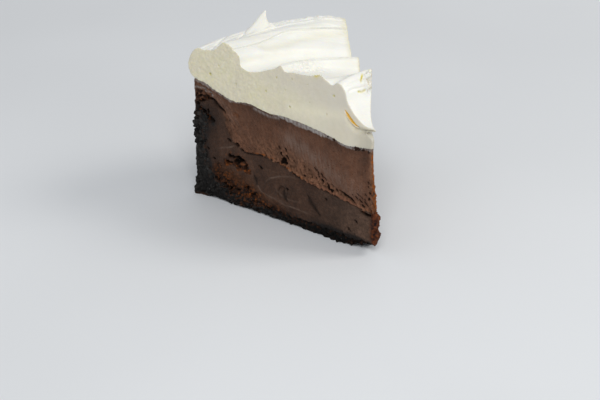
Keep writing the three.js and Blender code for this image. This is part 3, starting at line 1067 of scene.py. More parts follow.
def spread_relief(skin, lift):
    """Folds, creases and striations that the spatula left on the cream's top."""
    across = np.column_stack([skin.r, skin.z * 0.4, 26 * skin.t])
    rimward = skin.beyond(92, 99)
    striated = grain(across, (1.1, 1.1, 9), 42)
    height = 0.25 * grain(across, (5, 5, 16), 41, 1) + (0.05 + 0.18 * rimward) * striated
    height += 0.14 * skin.grain(7, 43, 1)
    height += lift * (0.75 * fold(skin, CREST_FOLD, 4.5) + 0.6 * fold(skin, STEP_EDGE, 2.5))
    height += lift * 0.45 * fold(skin, RIM_BAND, 2.2)
    height -= lift * (0.55 * crease(skin, RIM_CREASE, 0.7) + 0.6 * crease(skin, SAIL_CREASE, 0.55))
    height -= lift * 0.5 * crease(skin, SLOPE_HOLLOW, 2.6)
    height += lift * 0.5 * crease(skin, RIDGE_EDGE, 1.1)
    for groove in RIDGE_GROOVES:
        height -= lift * 0.6 * crease(skin, groove, 0.65)
    for slit in THIN_SLITS:
        height -= lift * 0.5 * crease(skin, slit, 0.6)
    return height


def rough_places(skin):
    """Where the cream tore or dried rough: the step's edge, the near ridge's end and the rim."""
    step = np.exp(-((skin.r - 56.5) / 3.2) ** 2 - ((skin.t - 0.38) / 0.2) ** 2)
    ridge_end = smooth_step(skin.t, 0.65, 0.95) * bell(skin.r - 22, 4)
    ridge_end *= skin.higher(73, 77)
    rim = bell(skin.r - 110, 2.6) * smooth_step(skin.t, 0.5, 0.6)
    return most(1.5 * step, 3.4 * ridge_end, 0.8 * rim)


def on_cream_cuts(skin):
    """Which points of the cream lie on a cut; the second cut is hollowed deeper than the first."""
    return np.maximum(skin.on_cuts, skin.on_cut(1, CREAM_HOLLOW_DEPTH))


def cream_relief(skin, sizes):
    on_cuts = on_cream_cuts(skin)
    top = (1 - on_cuts) * skin.higher(62, 66)
    height = spread_relief(skin, sizes.fold_height / MM)
    height += 0.75 * rough_places(skin) * skin.grain((2.5, 2.5, 2.8), 44, 2)
    height *= top
    curds = 0.15 * skin.grain(1.5, 45) + 0.2 * skin.grain(6, 46, 1)
    height += on_cuts * curds * (0.4 + 1.1 * skin.beyond(55, 85))
    gap, share = line_distance(skin.r, skin.z, LIP_HOLLOW)
    fade = 0.5 + 0.5 * np.sin(math.pi * share)
    height -= LIP_HOLLOW_DEPTH * skin.on_cut(0) * bell(gap, 1.15) * fade
    height -= 0.5 * skin.on_cut(0) * bell(skin.gap(UNDER_CREASE), 0.5)
    height -= 0.6 * pits(skin, 0, CREAM_PITS)
    height -= 0.6 * pits(skin, 1, random_pits(*SECOND_CUT_PITS["cream"]))
    skin.push(height)


def lean_peak(skin):
    """Bends the hooked peak over towards the second cut."""
    rise = skin.higher(PEAK_FOOT, PEAK_FOOT + PEAK_HEIGHT)
    near = bell(skin.r - PEAK_RADIUS, 6) * (np.abs(skin.t - PEAK_TURN) < 0.2)
    shift = PEAK_LEAN * rise ** 2 * near
    angle = (skin.t - 0.5) * SLICE_ANGLE
    level = np.zeros(len(shift))
    skin.move(np.column_stack([shift * np.cos(angle), -shift * np.sin(angle), level]))


def carve_crevice(cream):
    """Cuts the narrow fold under the curled lip with a leaf-shaped blade."""
    line = np.array(LIP_CREVICE)
    along = np.gradient(line[:, :2], axis=0)
    along /= np.linalg.norm(along, axis=1)[:, None]
    side = np.column_stack([-along[:, 1], along[:, 0]]) * line[:, 2:]
    outline = np.vstack([line[:, :2] + side, (line[:, :2] - side)[::-1]])
    deselect_all()
    bpy.ops.mesh.primitive_circle_add(vertices=len(outline), fill_type="NGON")
    blade = bpy.context.object
    inward = -cut_normal(0)
    set_points(blade, in_slice(outline[:, 0], outline[:, 1], 0.0) - inward)
    reach = Vector(inward) * (LIP_CREVICE_DEPTH + 1) * MM
    with editing():
        bpy.ops.mesh.extrude_region_move(TRANSFORM_OT_translate={"value": reach})
        turn_faces_out()
    apply_modifier(cream, "BOOLEAN", operation="DIFFERENCE", solver="EXACT", object=blade)
    bpy.data.objects.remove(blade)


# ------------------------------------------------------------------ masks for the finishes

def spots(skin, marks):
    """1 at each mark (t, r, z, radius), fading out over its radius."""
    masks = []
    for t, r, z, radius in marks:
        gap = np.array([(skin.t - t) * SLICE_ANGLE * r, skin.r - r, skin.z - z])
        masks.append(np.exp(-(gap ** 2).sum(axis=0) / radius ** 2))
    return most(*masks)


def mark_cream(skin):
    on_cuts = on_cream_cuts(skin)
    skin.mark("rimward", skin.beyond(15, 75))
    # Painted light showing amber through the slits and thin places.
    slits = 1.8 * crease(skin, THIN_SLITS[0], 0.9) + 1.3 * crease(skin, THIN_SLITS[1], 0.5)
    skin.mark("thin", spots(skin, THIN_CREAM), slits)
    # Painted shade in the cream's bubbles.
    skin.mark("bubble", pits(skin, 0, CREAM_PITS))
    above = skin.above(boundary(MOUSSE_TOP, 0.5))
    skin.mark("high", smooth_step(above, 10, 20) * skin.within(66, 84) * on_cuts)
    in_crevice = np.exp(-(skin.gap(LIP_CREVICE) / 1.35) ** 4) * (skin.depths[0] < 6)
    in_crevice *= smooth_step(skin.depths[0], 0.4, 1.2)
    skin.mark("lit", in_crevice * skin.beyond(12.6, 14.4))
    # Painted shade: grey along the creases and in patches of the rough places on the top.
    rough_patches = 0.45 * np.minimum(rough_places(skin), 1.2)
    rough_patches *= smooth_step(skin.grain(1.8, 49, 3), 0.0, 0.5)
    creases = sum(crease(skin, line, width) for line, width in DARK_CREASES)
    skin.mark("crease", (creases + rough_patches) * (1 - on_cuts))
    # A warmer tone along the far edge by the second cut, and painted warm shade in the hollow of
    # the slope.
    far_edge = smooth_step(skin.t, 0.955, 1) * (1 - on_cuts) * skin.higher(64, 68)
    skin.mark("warm", 0.8 * far_edge, 0.5 * crease(skin, SLOPE_HOLLOW, 2.2))
    # Painted shade in the hollow under the curled lip.
    skin.mark("lip", skin.near_cut(0) * bell(skin.gap(LIP_HOLLOW), 1.3))
    skin.mark("pale", bell(skin.gap(PALE_BAND), 3) * skin.on_cut(0))
    at_tip = skin.within(5, 17) * skin.lower(61, 64)
    skin.mark("cut", on_cuts, 0.8 * at_tip)
    skin.mark("shade", at_tip)


def smear_share(skin):
    """Where a thin skin of cream covers the mousse below the cream's cut edge, and along the pale
    lines of LIGHT_EDGES, from 0 to 1.
    """
    s, z, strength = np.array(SMEAR_LINE[::-1]).T
    below = np.interp(skin.r, s, z) - skin.z
    share = np.interp(skin.r, s, strength)
    ragged = 0.6 * grain(skin.flat, (1.5, 1.1, 1), 52, 3)
    dragged = 0.9 * share + ragged - np.maximum(below, -0.5)
    smeared = smooth_step(dragged, -0.1, 0.6) * share * skin.on_cuts
    for strength, wide, line in LIGHT_EDGES:
        smeared = most(smeared, strength * bell(skin.gap(line), wide) * skin.near_cut(0, 3))
    return smeared


def mark_level(skin, levels):
    """How light the chocolate is; a half stands for its own colour."""
    skin.mark("level", 0.5 * value_at(levels, skin.r))


def mark_tipward(skin):
    skin.mark("tipward", skin.within(*TIPWARD_RADII))


def mark_mousse(skin):
    mark_level(skin, MOUSSE_LEVEL)
    # Painted sheen: a soft pale patch along the sheen lines, fading under the cream.
    below_cream = 1 - 0.8 * near_boundary(skin, MOUSSE_TOP, 5.5)
    sheen = bell(skin.gap(SHEEN_LINE), SHEEN_REACH)
    sheen *= below_cream * (0.65 + 0.35 * skin.beyond(22, 34))
    at_rim = 0.6 * bell(skin.gap(RIM_SHEEN_LINE), 2.4)
    skin.mark("sheen", most(sheen, at_rim) * skin.near_cut(0))
    tip = skin.within(6, 16) * skin.higher(36, 50)
    skin.mark("shade", near_boundary(skin, MOUSSE_TOP, 4.6), tip)
    by_seam = most(seam_fringe(skin), 0.6 * hatched_share(skin))
    skin.mark("torn", by_seam, 0.8 * tip_share(skin), torn_share(skin))
    # Amber along the thin torn edge above the seam, and round the mousse's tip as painted light; a
    # little is laid in the rusty pits.
    broken = smooth_step(grain(skin.flat, (1.8, 1.4, 1), 63, 3), -0.2, 0.3)
    edge = bell(skin.from_seam - 0.9, 0.5) * broken * skin.within(72, 82)
    edge *= 0.2 + 0.6 * skin.beyond(40, 48)
    at_tip = 1.5 * skin.within(4.4, 5.4) * smooth_step(skin.t, 0.1, 0.35)
    at_tip *= (0.75 + 0.7 * skin.grain((9, 9, 2.2), 64)) * (1 - 0.7 * skin.higher(49, 51))
    # Painted highlight along the thin ridge of mousse by the seam.
    skin.mark("ridge", seam_ridge(skin, skin.from_seam - 0.5))
    skin.mark("amber", edge * skin.on_cuts, at_tip, 0.22 * pits(skin, 0, RUSTY_PITS))
    soft_seam = (1 - smooth_step(skin.from_seam, 0.5, 5)) * skin.beyond(84, 94)
    skin.mark("fudged", soft_seam * skin.lower(46, 50) * skin.on_cuts)
    low_tip = 0.5 * tip_share(skin) * skin.lower(30, 40)
    skin.mark("rust", torn_share(skin), low_tip)
    # Painted shade in the holes and cracks and along the seam.
    rusty_middles = [(s - 1.6, z - 0.4, 0.6) for s, z, *_ in RUSTY_PITS]
    hollows = most(pits(skin, 0, MOUSSE_HOLLOWS), 0.3 * pits(skin, 0, rusty_middles))
    holes = 1.6 * most(hollows, cracks(skin, SEAM_CRACKS, CRACK_WIDTH))
    skin.mark("hole_shade", holes, seam_shadow(skin))
    skin.mark("smear", smear_share(skin))


def mark_fudge(skin):
    mark_level(skin, FUDGE_LEVEL)
    patchy = 0.6 + 0.4 * smooth_step(skin.grain(3.5, 56), -0.3, 0.4)
    tip = skin.within(2.5, 6) * skin.higher(4, 8)
    round_void = [(s, z, long + 1.5, short + 1.3, tilt) for s, z, long, short, tilt in FUDGE_VOID]
    by_void = pits(skin, 0, round_void, 1.2) * (0.5 - 0.38 * skin.higher(22, 26))
    skin.mark("porous", patchy * crumbly_share(skin), torn_share(skin), tip, by_void)
    skin.mark("brown", porous_share(skin))
    mark_tipward(skin)
    # Painted highlight along the edges of each knife arc's groove, and pale lines along the knife's
    # swirls.
    pale_knife_lines = most(*[strength * bell(gap - 0.2, 0.24) for gap, strength in knife_arcs(skin)])
    pale_knife_lines *= skin.on_cut(0) * (0.8 + 0.7 * grain(skin.flat, (3, 3, 1), 53, 1))
    skin.mark("pale_knife_lines", pale_knife_lines, 0.16 * bell(swirls(skin), 0.05) * skin.on_cuts)
    # Painted shade in the holes, void and cracks, along the seam and under its ridge, and round the
    # tops of the bubbles; darker along the knife nicks.
    hollows = most(pits(skin, 0, FUDGE_HOLLOWS), pits(skin, 0, FUDGE_VOID, VOID_RAGGEDNESS))
    holes = 1.6 * most(hollows, seam_shadow(skin), cracks(skin, SEAM_CRACKS, CRACK_WIDTH))
    soft = most(0.85 * cracks(skin, KNIFE_NICKS, 1.4), 0.5 * bubble_rims(skin))
    skin.mark("hole_shade", holes, soft, 0.8 * seam_ridge(skin, skin.from_seam - 0.3))
    by_wall = near_boundary(skin, CRUST_INSIDE, 2.6) * skin.beyond(88, 98)
    by_wall = most(by_wall, 1.2 * (1 - smooth_step(skin.gap(TORN_WALL_TOP), 1.5, 4.5)))
    clumps = smooth_step(skin.grain(2.6, 60, 3), -0.1, 0.15) * porous_share(skin)
    by_base = near_boundary(skin, CRUST_INSIDE, 1.5 + 0.9 * skin.within(44, 56))
    by_base = most(by_base, clumps * near_boundary(skin, CRUST_INSIDE, 5))
    mixed = smooth_step(skin.grain(2.2, 57, 3), -0.4, 0.4)
    by_wall *= 0.5 + 0.5 * mixed
    skin.mark("crumbed", by_wall, by_base * mixed, 0.95 * tip_crumbs_share(skin))


def mark_crust(skin):
    gap = np.hypot(np.maximum(np.abs(skin.r - 109.5) - 3, 0), skin.z - 0.4)
    skin.mark("browned", 0.6 * bell(gap, 0.7) * skin.near_cut(0, 3))
    # Darker towards the bottom, most towards the tip: partly painted shade near the floor, partly
    # darker crumbs.
    skin.mark("dark", (0.9 - 0.55 * skin.beyond(30, 75)) * skin.lower(5, 14))
    under_pores = skin.beyond(60, 74) * skin.within(92, 98)
    by_fudge = np.maximum(0.3, under_pores) * near_boundary(skin, CRUST_INSIDE, 3.5)
    by_fudge *= smooth_step(skin.grain(1.6, 58, 3), 0.1, 0.35)
    skin.mark("fudged", by_fudge, spots(skin, FOOT_CRUMBS))


# ------------------------------------------------------------------ finishes

class Nodes:
    """Adds nodes to a tree. A value is a number, a colour, an output socket or a mask's name."""

    def __init__(self, tree):
        self.tree = tree

    def join(self, value, socket):
        if isinstance(value, str):
            value = self.add("ShaderNodeAttribute", {"attribute_name": value}).outputs["Fac"]
        if isinstance(value, bpy.types.NodeSocket):
            self.tree.links.new(value, socket)
        elif socket.type == "RGBA":
            socket.default_value = (*value, 1.0)
        else:
            socket.default_value = value

    def add(self, kind, settings=None, **sockets):
        """Adds a node with its settings and feeds its sockets."""
        node = self.tree.nodes.new(kind)
        for name, value in (settings or {}).items():
            setattr(node, name, value)
        for name, value in sockets.items():
            self.join(value, node.inputs[name.replace("_", " ")])
        return node

    def calculate(self, way, first, second, limit=False):
        node = self.add("ShaderNodeMath", {"operation": way, "use_clamp": limit})
        self.join(first, node.inputs[0])
        self.join(second, node.inputs[1])
        return node.outputs[0]

    def times(self, first, second, limit=False):
        return self.calculate("MULTIPLY", first, second, limit)

    def plus(self, first, second):
        return self.calculate("ADD", first, second)

    def minus(self, first, second, limit=False):
        return self.calculate("SUBTRACT", first, second, limit)

    def over(self, first, second):
        return self.calculate("DIVIDE", first, second)

    def blend(self, share, first, second, way="MIX"):
        """Mixes two colours by a share and gives the output socket."""
        node = self.add("ShaderNodeMix", {"data_type": "RGBA", "blend_type": way})
        sockets = {socket.identifier: socket for socket in node.inputs}
        self.join(share, sockets["Factor_Float"])
        self.join(first, sockets["A_Color"])
        self.join(second, sockets["B_Color"])
        return next(socket for socket in node.outputs if socket.identifier == "Result_Color")

    def smooth_ramp(self, value, low, high):
        """0 where the value is low and 1 where it is high, with smooth ends."""
        smooth = {"interpolation_type": "SMOOTHSTEP"}
        ramp = self.add("ShaderNodeMapRange", smooth, Value=value, From_Min=low, From_Max=high)
        return ramp.outputs["Result"]

    def place(self):
        return self.add("ShaderNodeTexCoord").outputs["Object"]

    def group(self, name, **sockets):
        """Puts a shared group into the tree, with its own values, and gives its output."""
        shared = {"node_tree": bpy.data.node_groups[name]}
        return self.add("ShaderNodeGroup", shared, **sockets).outputs[0]

    def mottling(self, size, detail, sharpness):
        return self.group("Mottling", Size=size, Detail=detail, Sharpness=sharpness)

    def specks(self, size, share):
        return self.group("Specks", Size=size, Share=share)


class Tone:
    """A colour built up in layers, each laid on by a share from 0 to 1."""

    def __init__(self, nodes, colour):
        self.nodes = nodes
        self.colour = colour

    def cover(self, colour, share, strength=None):
        """Lays a colour over the layers below, or so much of it as the strength says."""
        if strength is not None:
            share = self.nodes.times(share, strength)
        self.colour = self.nodes.blend(share, self.colour, colour)

    def tint(self, colour, share=1.0):
        """Multiplies the layers below by a colour."""
        self.colour = self.nodes.blend(share, self.colour, colour, "MULTIPLY")

    def shade(self, share, low, high):
        """Darkens or lightens, from low to high times as the share goes from 0 to 1."""
        self.tint(self.nodes.blend(share, (low, low, low), (high, high, high)))


class Finish(Nodes):
    """A new material whose Principled shader is fed by tones and masks."""

    def __init__(self, name):
        build_groups()
        self.material = bpy.data.materials.new(name)
        self.material.use_nodes = True
        super().__init__(self.material.node_tree)
        self.shader = self.tree.nodes["Principled BSDF"]

    def tone(self, colour):
        return Tone(self, colour)

    def feed(self, name, value):
        self.join(value, self.shader.inputs[name])

    def varied_roughness(self, share, low, high):
        ramp = self.add("ShaderNodeMapRange", Value=share, To_Min=low, To_Max=high)
        self.feed("Roughness", ramp.outputs["Result"])

    def rough_surface(self, height, distance_mm, strength):
        """Lets a height mask stand out of the surface."""
        distance = distance_mm * MM
        bump = self.add("ShaderNodeBump", Height=height, Distance=distance, Strength=strength)
        self.feed("Normal", bump.outputs["Normal"])


def new_group(name, **numbers):
    """A shader group with number inputs and one mask: its nodes, inputs and the mask's socket."""
    tree = bpy.data.node_groups.new(name, "ShaderNodeTree")
    for label, value in numbers.items():
        socket = tree.interface.new_socket(label, in_out="INPUT", socket_type="NodeSocketFloat")
        socket.default_value = value
    tree.interface.new_socket("Mask", in_out="OUTPUT", socket_type="NodeSocketFloat")
    given = tree.nodes.new("NodeGroupInput").outputs
    return Nodes(tree), given, tree.nodes.new("NodeGroupOutput").inputs["Mask"]


def build_mottling(name):
    """Cloudy patches from 0 to 1: Size is their width in metres, and Sharpness is their edges'."""
    nodes, given, result = new_group(name, Size=0.004, Detail=3.0, Sharpness=0.5)
    scale = nodes.over(1.0, given["Size"])
    detail = given["Detail"]
    cloud = nodes.add("ShaderNodeTexNoise", Vector=nodes.place(), Scale=scale, Detail=detail)
    low = nodes.minus(0.5, nodes.times(given["Sharpness"], 0.48))
    nodes.join(nodes.smooth_ramp(cloud.outputs["Fac"], low, nodes.minus(1.0, low)), result)


def build_specks(name):
    """Small round specks from 0 to 1: Share is how much of each cell a speck fills."""
    nodes, given, result = new_group(name, Size=0.001, Share=0.2)
    scale = nodes.over(1.0, given["Size"])
    cells = nodes.add("ShaderNodeTexVoronoi", Vector=nodes.place(), Scale=scale)
    chance = nodes.add("ShaderNodeSeparateColor", Color=cells.outputs["Color"]).outputs["Red"]
    reach = nodes.times(given["Share"], nodes.plus(chance, 0.3))
    near = nodes.over(cells.outputs["Distance"], reach)
    nodes.join(nodes.smooth_ramp(near, 1.0, 0.6), result)


def build_knife_streaks(name):
    """Upright streaks across a cut: they change along the radius and run on up and down."""
    nodes, given, result = new_group(name, Width=0.001, Length=0.02, Slant=0.0)
    from_axis = nodes.add("ShaderNodeVectorMath", {"operation": "SUBTRACT"})
    nodes.join(nodes.place(), from_axis.inputs[0])
    from_axis.inputs[1].default_value = (0, AXIS_Y * MM, 0)
    parts = nodes.add("ShaderNodeSeparateXYZ", Vector=from_axis.outputs["Vector"]).outputs
    level = nodes.add("ShaderNodeCombineXYZ", X=parts["X"], Y=parts["Y"])
    radius = nodes.add("ShaderNodeVectorMath", {"operation": "LENGTH"})
    nodes.join(level.outputs["Vector"], radius.inputs[0])
    upright = nodes.minus(1.0, nodes.times(parts["Z"], given["Slant"]))
    across = nodes.over(nodes.times(radius.outputs["Value"], upright), given["Width"])
    upward = nodes.over(parts["Z"], given["Length"])
    stretched = nodes.add("ShaderNodeCombineXYZ", X=across, Y=upward)
    place = stretched.outputs["Vector"]
    streak = nodes.add("ShaderNodeTexNoise", Vector=place, Scale=1.0, Detail=3.0)
    nodes.join(nodes.smooth_ramp(streak.outputs["Fac"], 0.3, 0.7), result)


GROUPS = {
    "Mottling": build_mottling,
    "Specks": build_specks,
    "Knife Streaks": build_knife_streaks,
}


def build_groups():
    for name, build in GROUPS.items():
        if name not in bpy.data.node_groups:
            build(name)


def paint_crumbs(paint, colours):
    """Packed cookie crumbs: near black, with paler and browner grains among them."""
    patches = paint.mottling(0.0024, 5.0, 0.6)
    tone = paint.tone(colours.crumb_dark)
    tone.cover(colours.crumb_light, patches)
    # Painted shade, near black, in the gaps between the raised crumbs.
    gaps = paint.minus(0.85, paint.times("raised", 1.6), limit=True)
    tone.cover((0.0030, 0.0026, 0.0022), gaps)
    tone.cover((0.062, 0.052, 0.046), paint.specks(0.0011, 0.34), 0.5)
    # Darker at the bottom: partly painted shade near the floor, partly darker crumbs.
    tone.cover((0.0036, 0.0034, 0.0030), "dark")
    # Painted glints on the crumbs.
    tone.cover((0.12, 0.105, 0.10), paint.specks(0.0019, 0.16), 0.6)
    tone.cover((0.125, 0.040, 0.011), "fudged", 0.8)
    tone.cover((0.070, 0.030, 0.014), "browned")
    paint.feed("Base Color", tone.colour)
    paint.varied_roughness(patches, 0.6, 0.92)
    paint.rough_surface(paint.mottling(0.0007, 5.0, 0.1), 0.5, 0.9)
    paint.feed("Specular IOR Level", MATT)


def paint_fudge(paint, colours):
    """Dense fudge, smooth where the knife passed and porous by the crust."""
    tone = paint.tone(colours.fudge)
    tone.shade(paint.mottling(0.010, 6.0, 0.4), 0.72, 1.22)
    tone.shade("level", 0, 2)
    grit = paint.mottling(0.0014, 3.0, 0.75)
    tone.shade(grit, 0.66, 1.36)
    tone.shade(paint.mottling(0.0035, 4.0, 0.7), 0.84, 1.18)
    tone.cover((0.058, 0.030, 0.021), paint.mottling(0.0065, 3.0, 0.6), 0.25)
    tone.cover((0.14, 0.085, 0.06), paint.specks(0.0016, 0.15), 0.3)
    tone.tint((1.0, 1.13, 1.22), "tipward")
    # Painted highlight along the knife arcs, and pale swirl lines.
    tone.cover((0.20, 0.140, 0.110), "pale_knife_lines", 0.45)
    tone.cover((0.090, 0.036, 0.0150), "brown", 0.6)
    # The torn fudge: painted shade, near black, between its crumbs and in its pores, and orange
    # flecks on the raised crumbs that are partly painted highlights and partly the porous fudge's
    # own colour.
    crumbs = paint.mottling(0.0018, 4.0, 0.6)
    crumbs = paint.times(crumbs, paint.times("raised", 1.3), limit=True)
    torn = paint.tone((0.008, 0.004, 0.0025))
    torn.cover((0.124, 0.040, 0.013), crumbs)
    flecks = paint.mottling(0.0016, 4.0, 0.9)
    flecks = paint.times(flecks, paint.times(crumbs, 1.3), limit=True)
    torn.cover(colours.fudge_porous, flecks)
    away = paint.minus(0.8, paint.times("tipward", 0.55))
    torn.cover(colours.fudge_porous, paint.specks(0.0017, 0.42), away)
    torn.cover((0.007, 0.004, 0.003), paint.specks(0.0030, 0.48), away)
    torn.tint((1.08, 1.12, 2.1), "tipward")
    tone.cover(torn.colour, "porous")
    tone.cover((0.014, 0.0115, 0.0105), "crumbed")
    # Painted shade in the holes, cracks and nicks.
    tone.cover((0.007, 0.0028, 0.0010), "hole_shade")
    paint.feed("Base Color", tone.colour)
    matt = paint.plus(paint.times("porous", 0.3), paint.times(grit, 0.25))
    paint.varied_roughness(matt, 0.42, 0.95)
    paint.rough_surface(paint.mottling(0.0011, 6.0, 0.2), 0.3, 0.9)
    paint.feed("Specular IOR Level", MATT)


def paint_mousse(paint, colours):
    """Cut mousse with knife streaks, a paler painted sheen, a torn brown fringe and smears of
    cream.
    """
    patches = paint.mottling(0.007, 6.0, 0.4)
    tone = paint.tone(colours.mousse)
    tone.shade(patches, 0.82, 1.14)
    tone.shade(paint.mottling(0.0038, 4.0, 0.6), 0.86, 1.15)
    tone.shade("level", 0, 2)
    tone.shade("shade", 1.0, 0.53)
    streaks = paint.group("Knife Streaks", Width=0.0009, Length=0.006, Slant=STREAK_LEAN / MM)
    # A faint painted sheen along the knife streaks.
    tone.cover(colours.mousse_sheen, streaks, 0.12)
    grit = paint.mottling(0.0013, 3.0, 0.75)
    tone.shade(grit, 0.80, 1.22)
    tone.cover((0.128, 0.047, 0.024), paint.mottling(0.0022, 4.0, 0.7), 0.35)
    tone.cover(colours.fudge, "fudged")
    # Painted sheen, strongest on the knife streaks.
    sheen = paint.times("sheen", paint.plus(streaks, 0.2), limit=True)
    tone.cover(colours.mousse_sheen, sheen, 0.75)
    # Painted shade in the small bubbles.
    bubbles = paint.specks(0.0014, 0.19)
    tone.cover((0.034, 0.013, 0.006), bubbles, 0.65)
    # The torn mousse: painted shade, near black, in its low places, lighter on its raised flakes,
    # and pale tan flecks as painted highlights.
    raised = paint.times("raised", paint.plus(grit, 0.5), limit=True)
    torn = paint.tone((0.022, 0.007, 0.002))
    torn.cover(colours.mousse_torn, raised)
    torn.cover((0.38, 0.205, 0.125), paint.mottling(0.0012, 3.0, 0.92), 0.65)
    tone.cover(torn.colour, "torn", 0.85)
    # Torn mousse at the rim and the tip, with painted shade in its low places and painted light on
    # its raised flakes.
    tone.cover(paint.blend(raised, (0.020, 0.0085, 0.0045), (0.150, 0.068, 0.038)), "rust")
    # Painted highlight along the seam's ridge.
    tone.cover((0.225, 0.095, 0.058), "ridge", 0.8)
    # Amber on the thin torn edges, and painted light round the tip.
    amber = paint.times("amber", paint.plus(raised, 0.3), limit=True)
    tone.cover(colours.mousse_edge, amber)
    # Cream smeared over the mousse, and the pale lines below the cream, the first partly painted
    # highlight.
    smear = paint.times("smear", paint.plus(streaks, 0.45), limit=True)
    tone.cover((0.40, 0.37, 0.35), smear, 0.85)
    # Painted shade in the holes and cracks.
    tone.cover((0.007, 0.0025, 0.0008), "hole_shade")
    paint.feed("Base Color", tone.colour)
    paint.varied_roughness(patches, 0.55, 0.76)
    height = paint.minus(paint.mottling(0.0009, 6.0, 0.2), paint.times(bubbles, 0.8))
    paint.rough_surface(height, 0.3, 0.9)
    paint.feed("Specular IOR Level", MATT)


def paint_cream(paint, colours):
    """Whipped cream: bright and soft on top, a little yellower where cut, with light painted amber
    where it is thin.
    """
    patches = paint.mottling(0.014, 4.0, 0.3)
    tone = paint.tone(colours.cream)
    tone.cover(paint.blend("rimward", (0.70, 0.66, 0.54), colours.cream_cut), "cut")
    # Painted warm shade in the slope's hollow, and a warmer far edge.
    tone.cover(colours.cream_cut, "warm", 0.6)
    # Painted shade in the creases and rough places.
    tone.cover((0.46, 0.46, 0.42), "crease", 0.45)
    # Painted shade in the hollow under the curled lip.
    tone.cover((0.60, 0.55, 0.40), "lip", 0.6)
    curds = paint.times(paint.mottling(0.0028, 4.0, 0.5), "cut")
    tone.cover((0.83, 0.76, 0.64), curds, 0.55)
    tone.cover((0.72, 0.68, 0.53), patches, 0.16)
    tone.cover((0.70, 0.635, 0.50), paint.times(patches, "cut"), 0.6)
    tone.cover((0.88, 0.82, 0.63), "pale", 0.45)
    tone.cover((0.655, 0.605, 0.515), "high", 0.6)
    tone.shade("shade", 1.0, 0.76)
    speckled = paint.tone(tone.colour)
    speckled.shade(paint.mottling(0.0012, 3.0, 0.6), 0.92, 1.05)
    speckled.cover((0.86, 0.80, 0.60), paint.mottling(0.0026, 2.0, 0.88), 0.5)
    tone.cover(speckled.colour, "cut", "rimward")
    # Painted shade in the cream's bubbles.
    tone.cover((0.62, 0.58, 0.27), "bubble")
    # Painted light showing amber through the thin places.
    tone.cover(colours.cream_thin, "thin")
    tone.cover((0.56, 0.36, 0.006), "lit")
    paint.feed("Base Color", tone.colour)
    paint.feed("Emission Color", paint.blend("lit", (0, 0, 0), (0.52, 0.31, 0.0)))
    paint.feed("Emission Strength", 0.5)
    paint.varied_roughness(patches, 0.42, 0.6)
    fine = paint.times(paint.mottling(0.0009, 4.0, 0.0), 0.5)
    paint.rough_surface(paint.minus(fine, paint.specks(0.0019, 0.14)), 0.12, 0.6)
    paint.feed("Subsurface Weight", 0.2)
    paint.feed("Subsurface Radius", (1.0, 0.8, 0.45))
    paint.feed("Subsurface Scale", 2.5 * MM)
    paint.feed("Specular IOR Level", 0.35)


PAINTERS = {
    "Cookie Crumb": paint_crumbs,
    "Fudge": paint_fudge,
    "Chocolate Mousse": paint_mousse,
    "Whipped Cream": paint_cream,
}


def finish(name, colours):
    """The material of this name, painted the first time that it is asked for."""
    if name not in bpy.data.materials:
        PAINTERS[name](Finish(name), colours)
    return bpy.data.materials[name]


# ------------------------------------------------------------------ loose pieces

def model_bit(seed):
    """One irregular lump about 1 mm across: a sphere knocked out of shape."""
    deselect_all()
    bpy.ops.mesh.primitive_ico_sphere_add(subdivisions=2, radius=0.5 * MM)
    bit = bpy.context.object
    with editing():
        bpy.ops.transform.vertex_random(offset=0.2 * MM, seed=seed)
        bpy.ops.mesh.vertices_smooth(factor=0.15)
    return bit


def scatter(name, host, weights, number, seed, widths, sink=0.25, stretch=1.25):
    """Copies a few lumps over the host, most where the weights are high, and joins them."""
    draw = np.random.default_rng(seed)
    skin = Skin(host)
    chosen = draw.choice(len(weights), size=number, p=weights / weights.sum())
    patterns = [model_bit(seed + k) for k in range(BIT_PATTERNS)]
    copies = []
    for index in chosen:
        width = widths[0] + (widths[1] - widths[0]) * draw.random() ** SMALL_BITS
        copy = patterns[draw.integers(len(patterns))].copy()
        copy.data = copy.data.copy()
        bpy.context.collection.objects.link(copy)
        place = skin.points[index] - sink * width * skin.normals[index]
        copy.location = Vector(place) * MM
        copy.rotation_euler = draw.uniform(0, 2 * math.pi, 3)
        copy.scale = width * draw.uniform(0.75, 1.25, 3) * (stretch, 1, 1 / stretch)
        copies.append(copy)
    for pattern in patterns:
        bpy.data.objects.remove(pattern)
    deselect_all()
    for copy in copies:
        copy.select_set(True)
    bpy.context.view_layer.objects.active = copies[0]
    bpy.ops.object.join()
    bpy.ops.object.transform_apply(location=True, rotation=True, scale=True)
    bits = bpy.context.object
    bits.name = bits.data.name = name
    return bits


def keep_above_floor(piece):
    points = Skin(piece).points
    points[:, 2] = np.maximum(points[:, 2], 0)
    set_points(piece, points)


def mark_torn(bits):
    """Gives loose bits of fudge the look of torn fudge."""
    skin = Skin(bits)
    ones = np.ones(len(skin.r))
    skin.mark("porous", ones)
    mark_level(skin, FUDGE_LEVEL)
    skin.mark("raised", 0.5 * ones)
    mark_tipward(skin)


# ------------------------------------------------------------------ operators

def work_layer(piece, steps, sizes, marks):
    """Works each step into a layer's even skin and marks it for its finish."""
    for step in steps:
        step(Skin(piece), sizes)
    bring_down(piece)
    marks(Skin(piece))


class MUDPIE_OT_crust(bpy.types.Operator):
    """Rolls the crumb crust and packs its crumbs"""
    bl_idname = "mudpie.crust"
    bl_label = "Crumb Crust"

    def execute(self, context):
        sizes, colours = context.scene.mud_pie_sizes, context.scene.mud_pie_colours
        crust = roll_layer("Crumb_Crust", crust_section)
        even_skin(crust, sizes.chocolate_grid)
        work_layer(crust, (roughen_crust_edge, crust_relief), sizes, mark_crust)
        finish_piece(crust, finish("Cookie Crumb", colours), "crumbs", "crumb_crust")
        return {"FINISHED"}


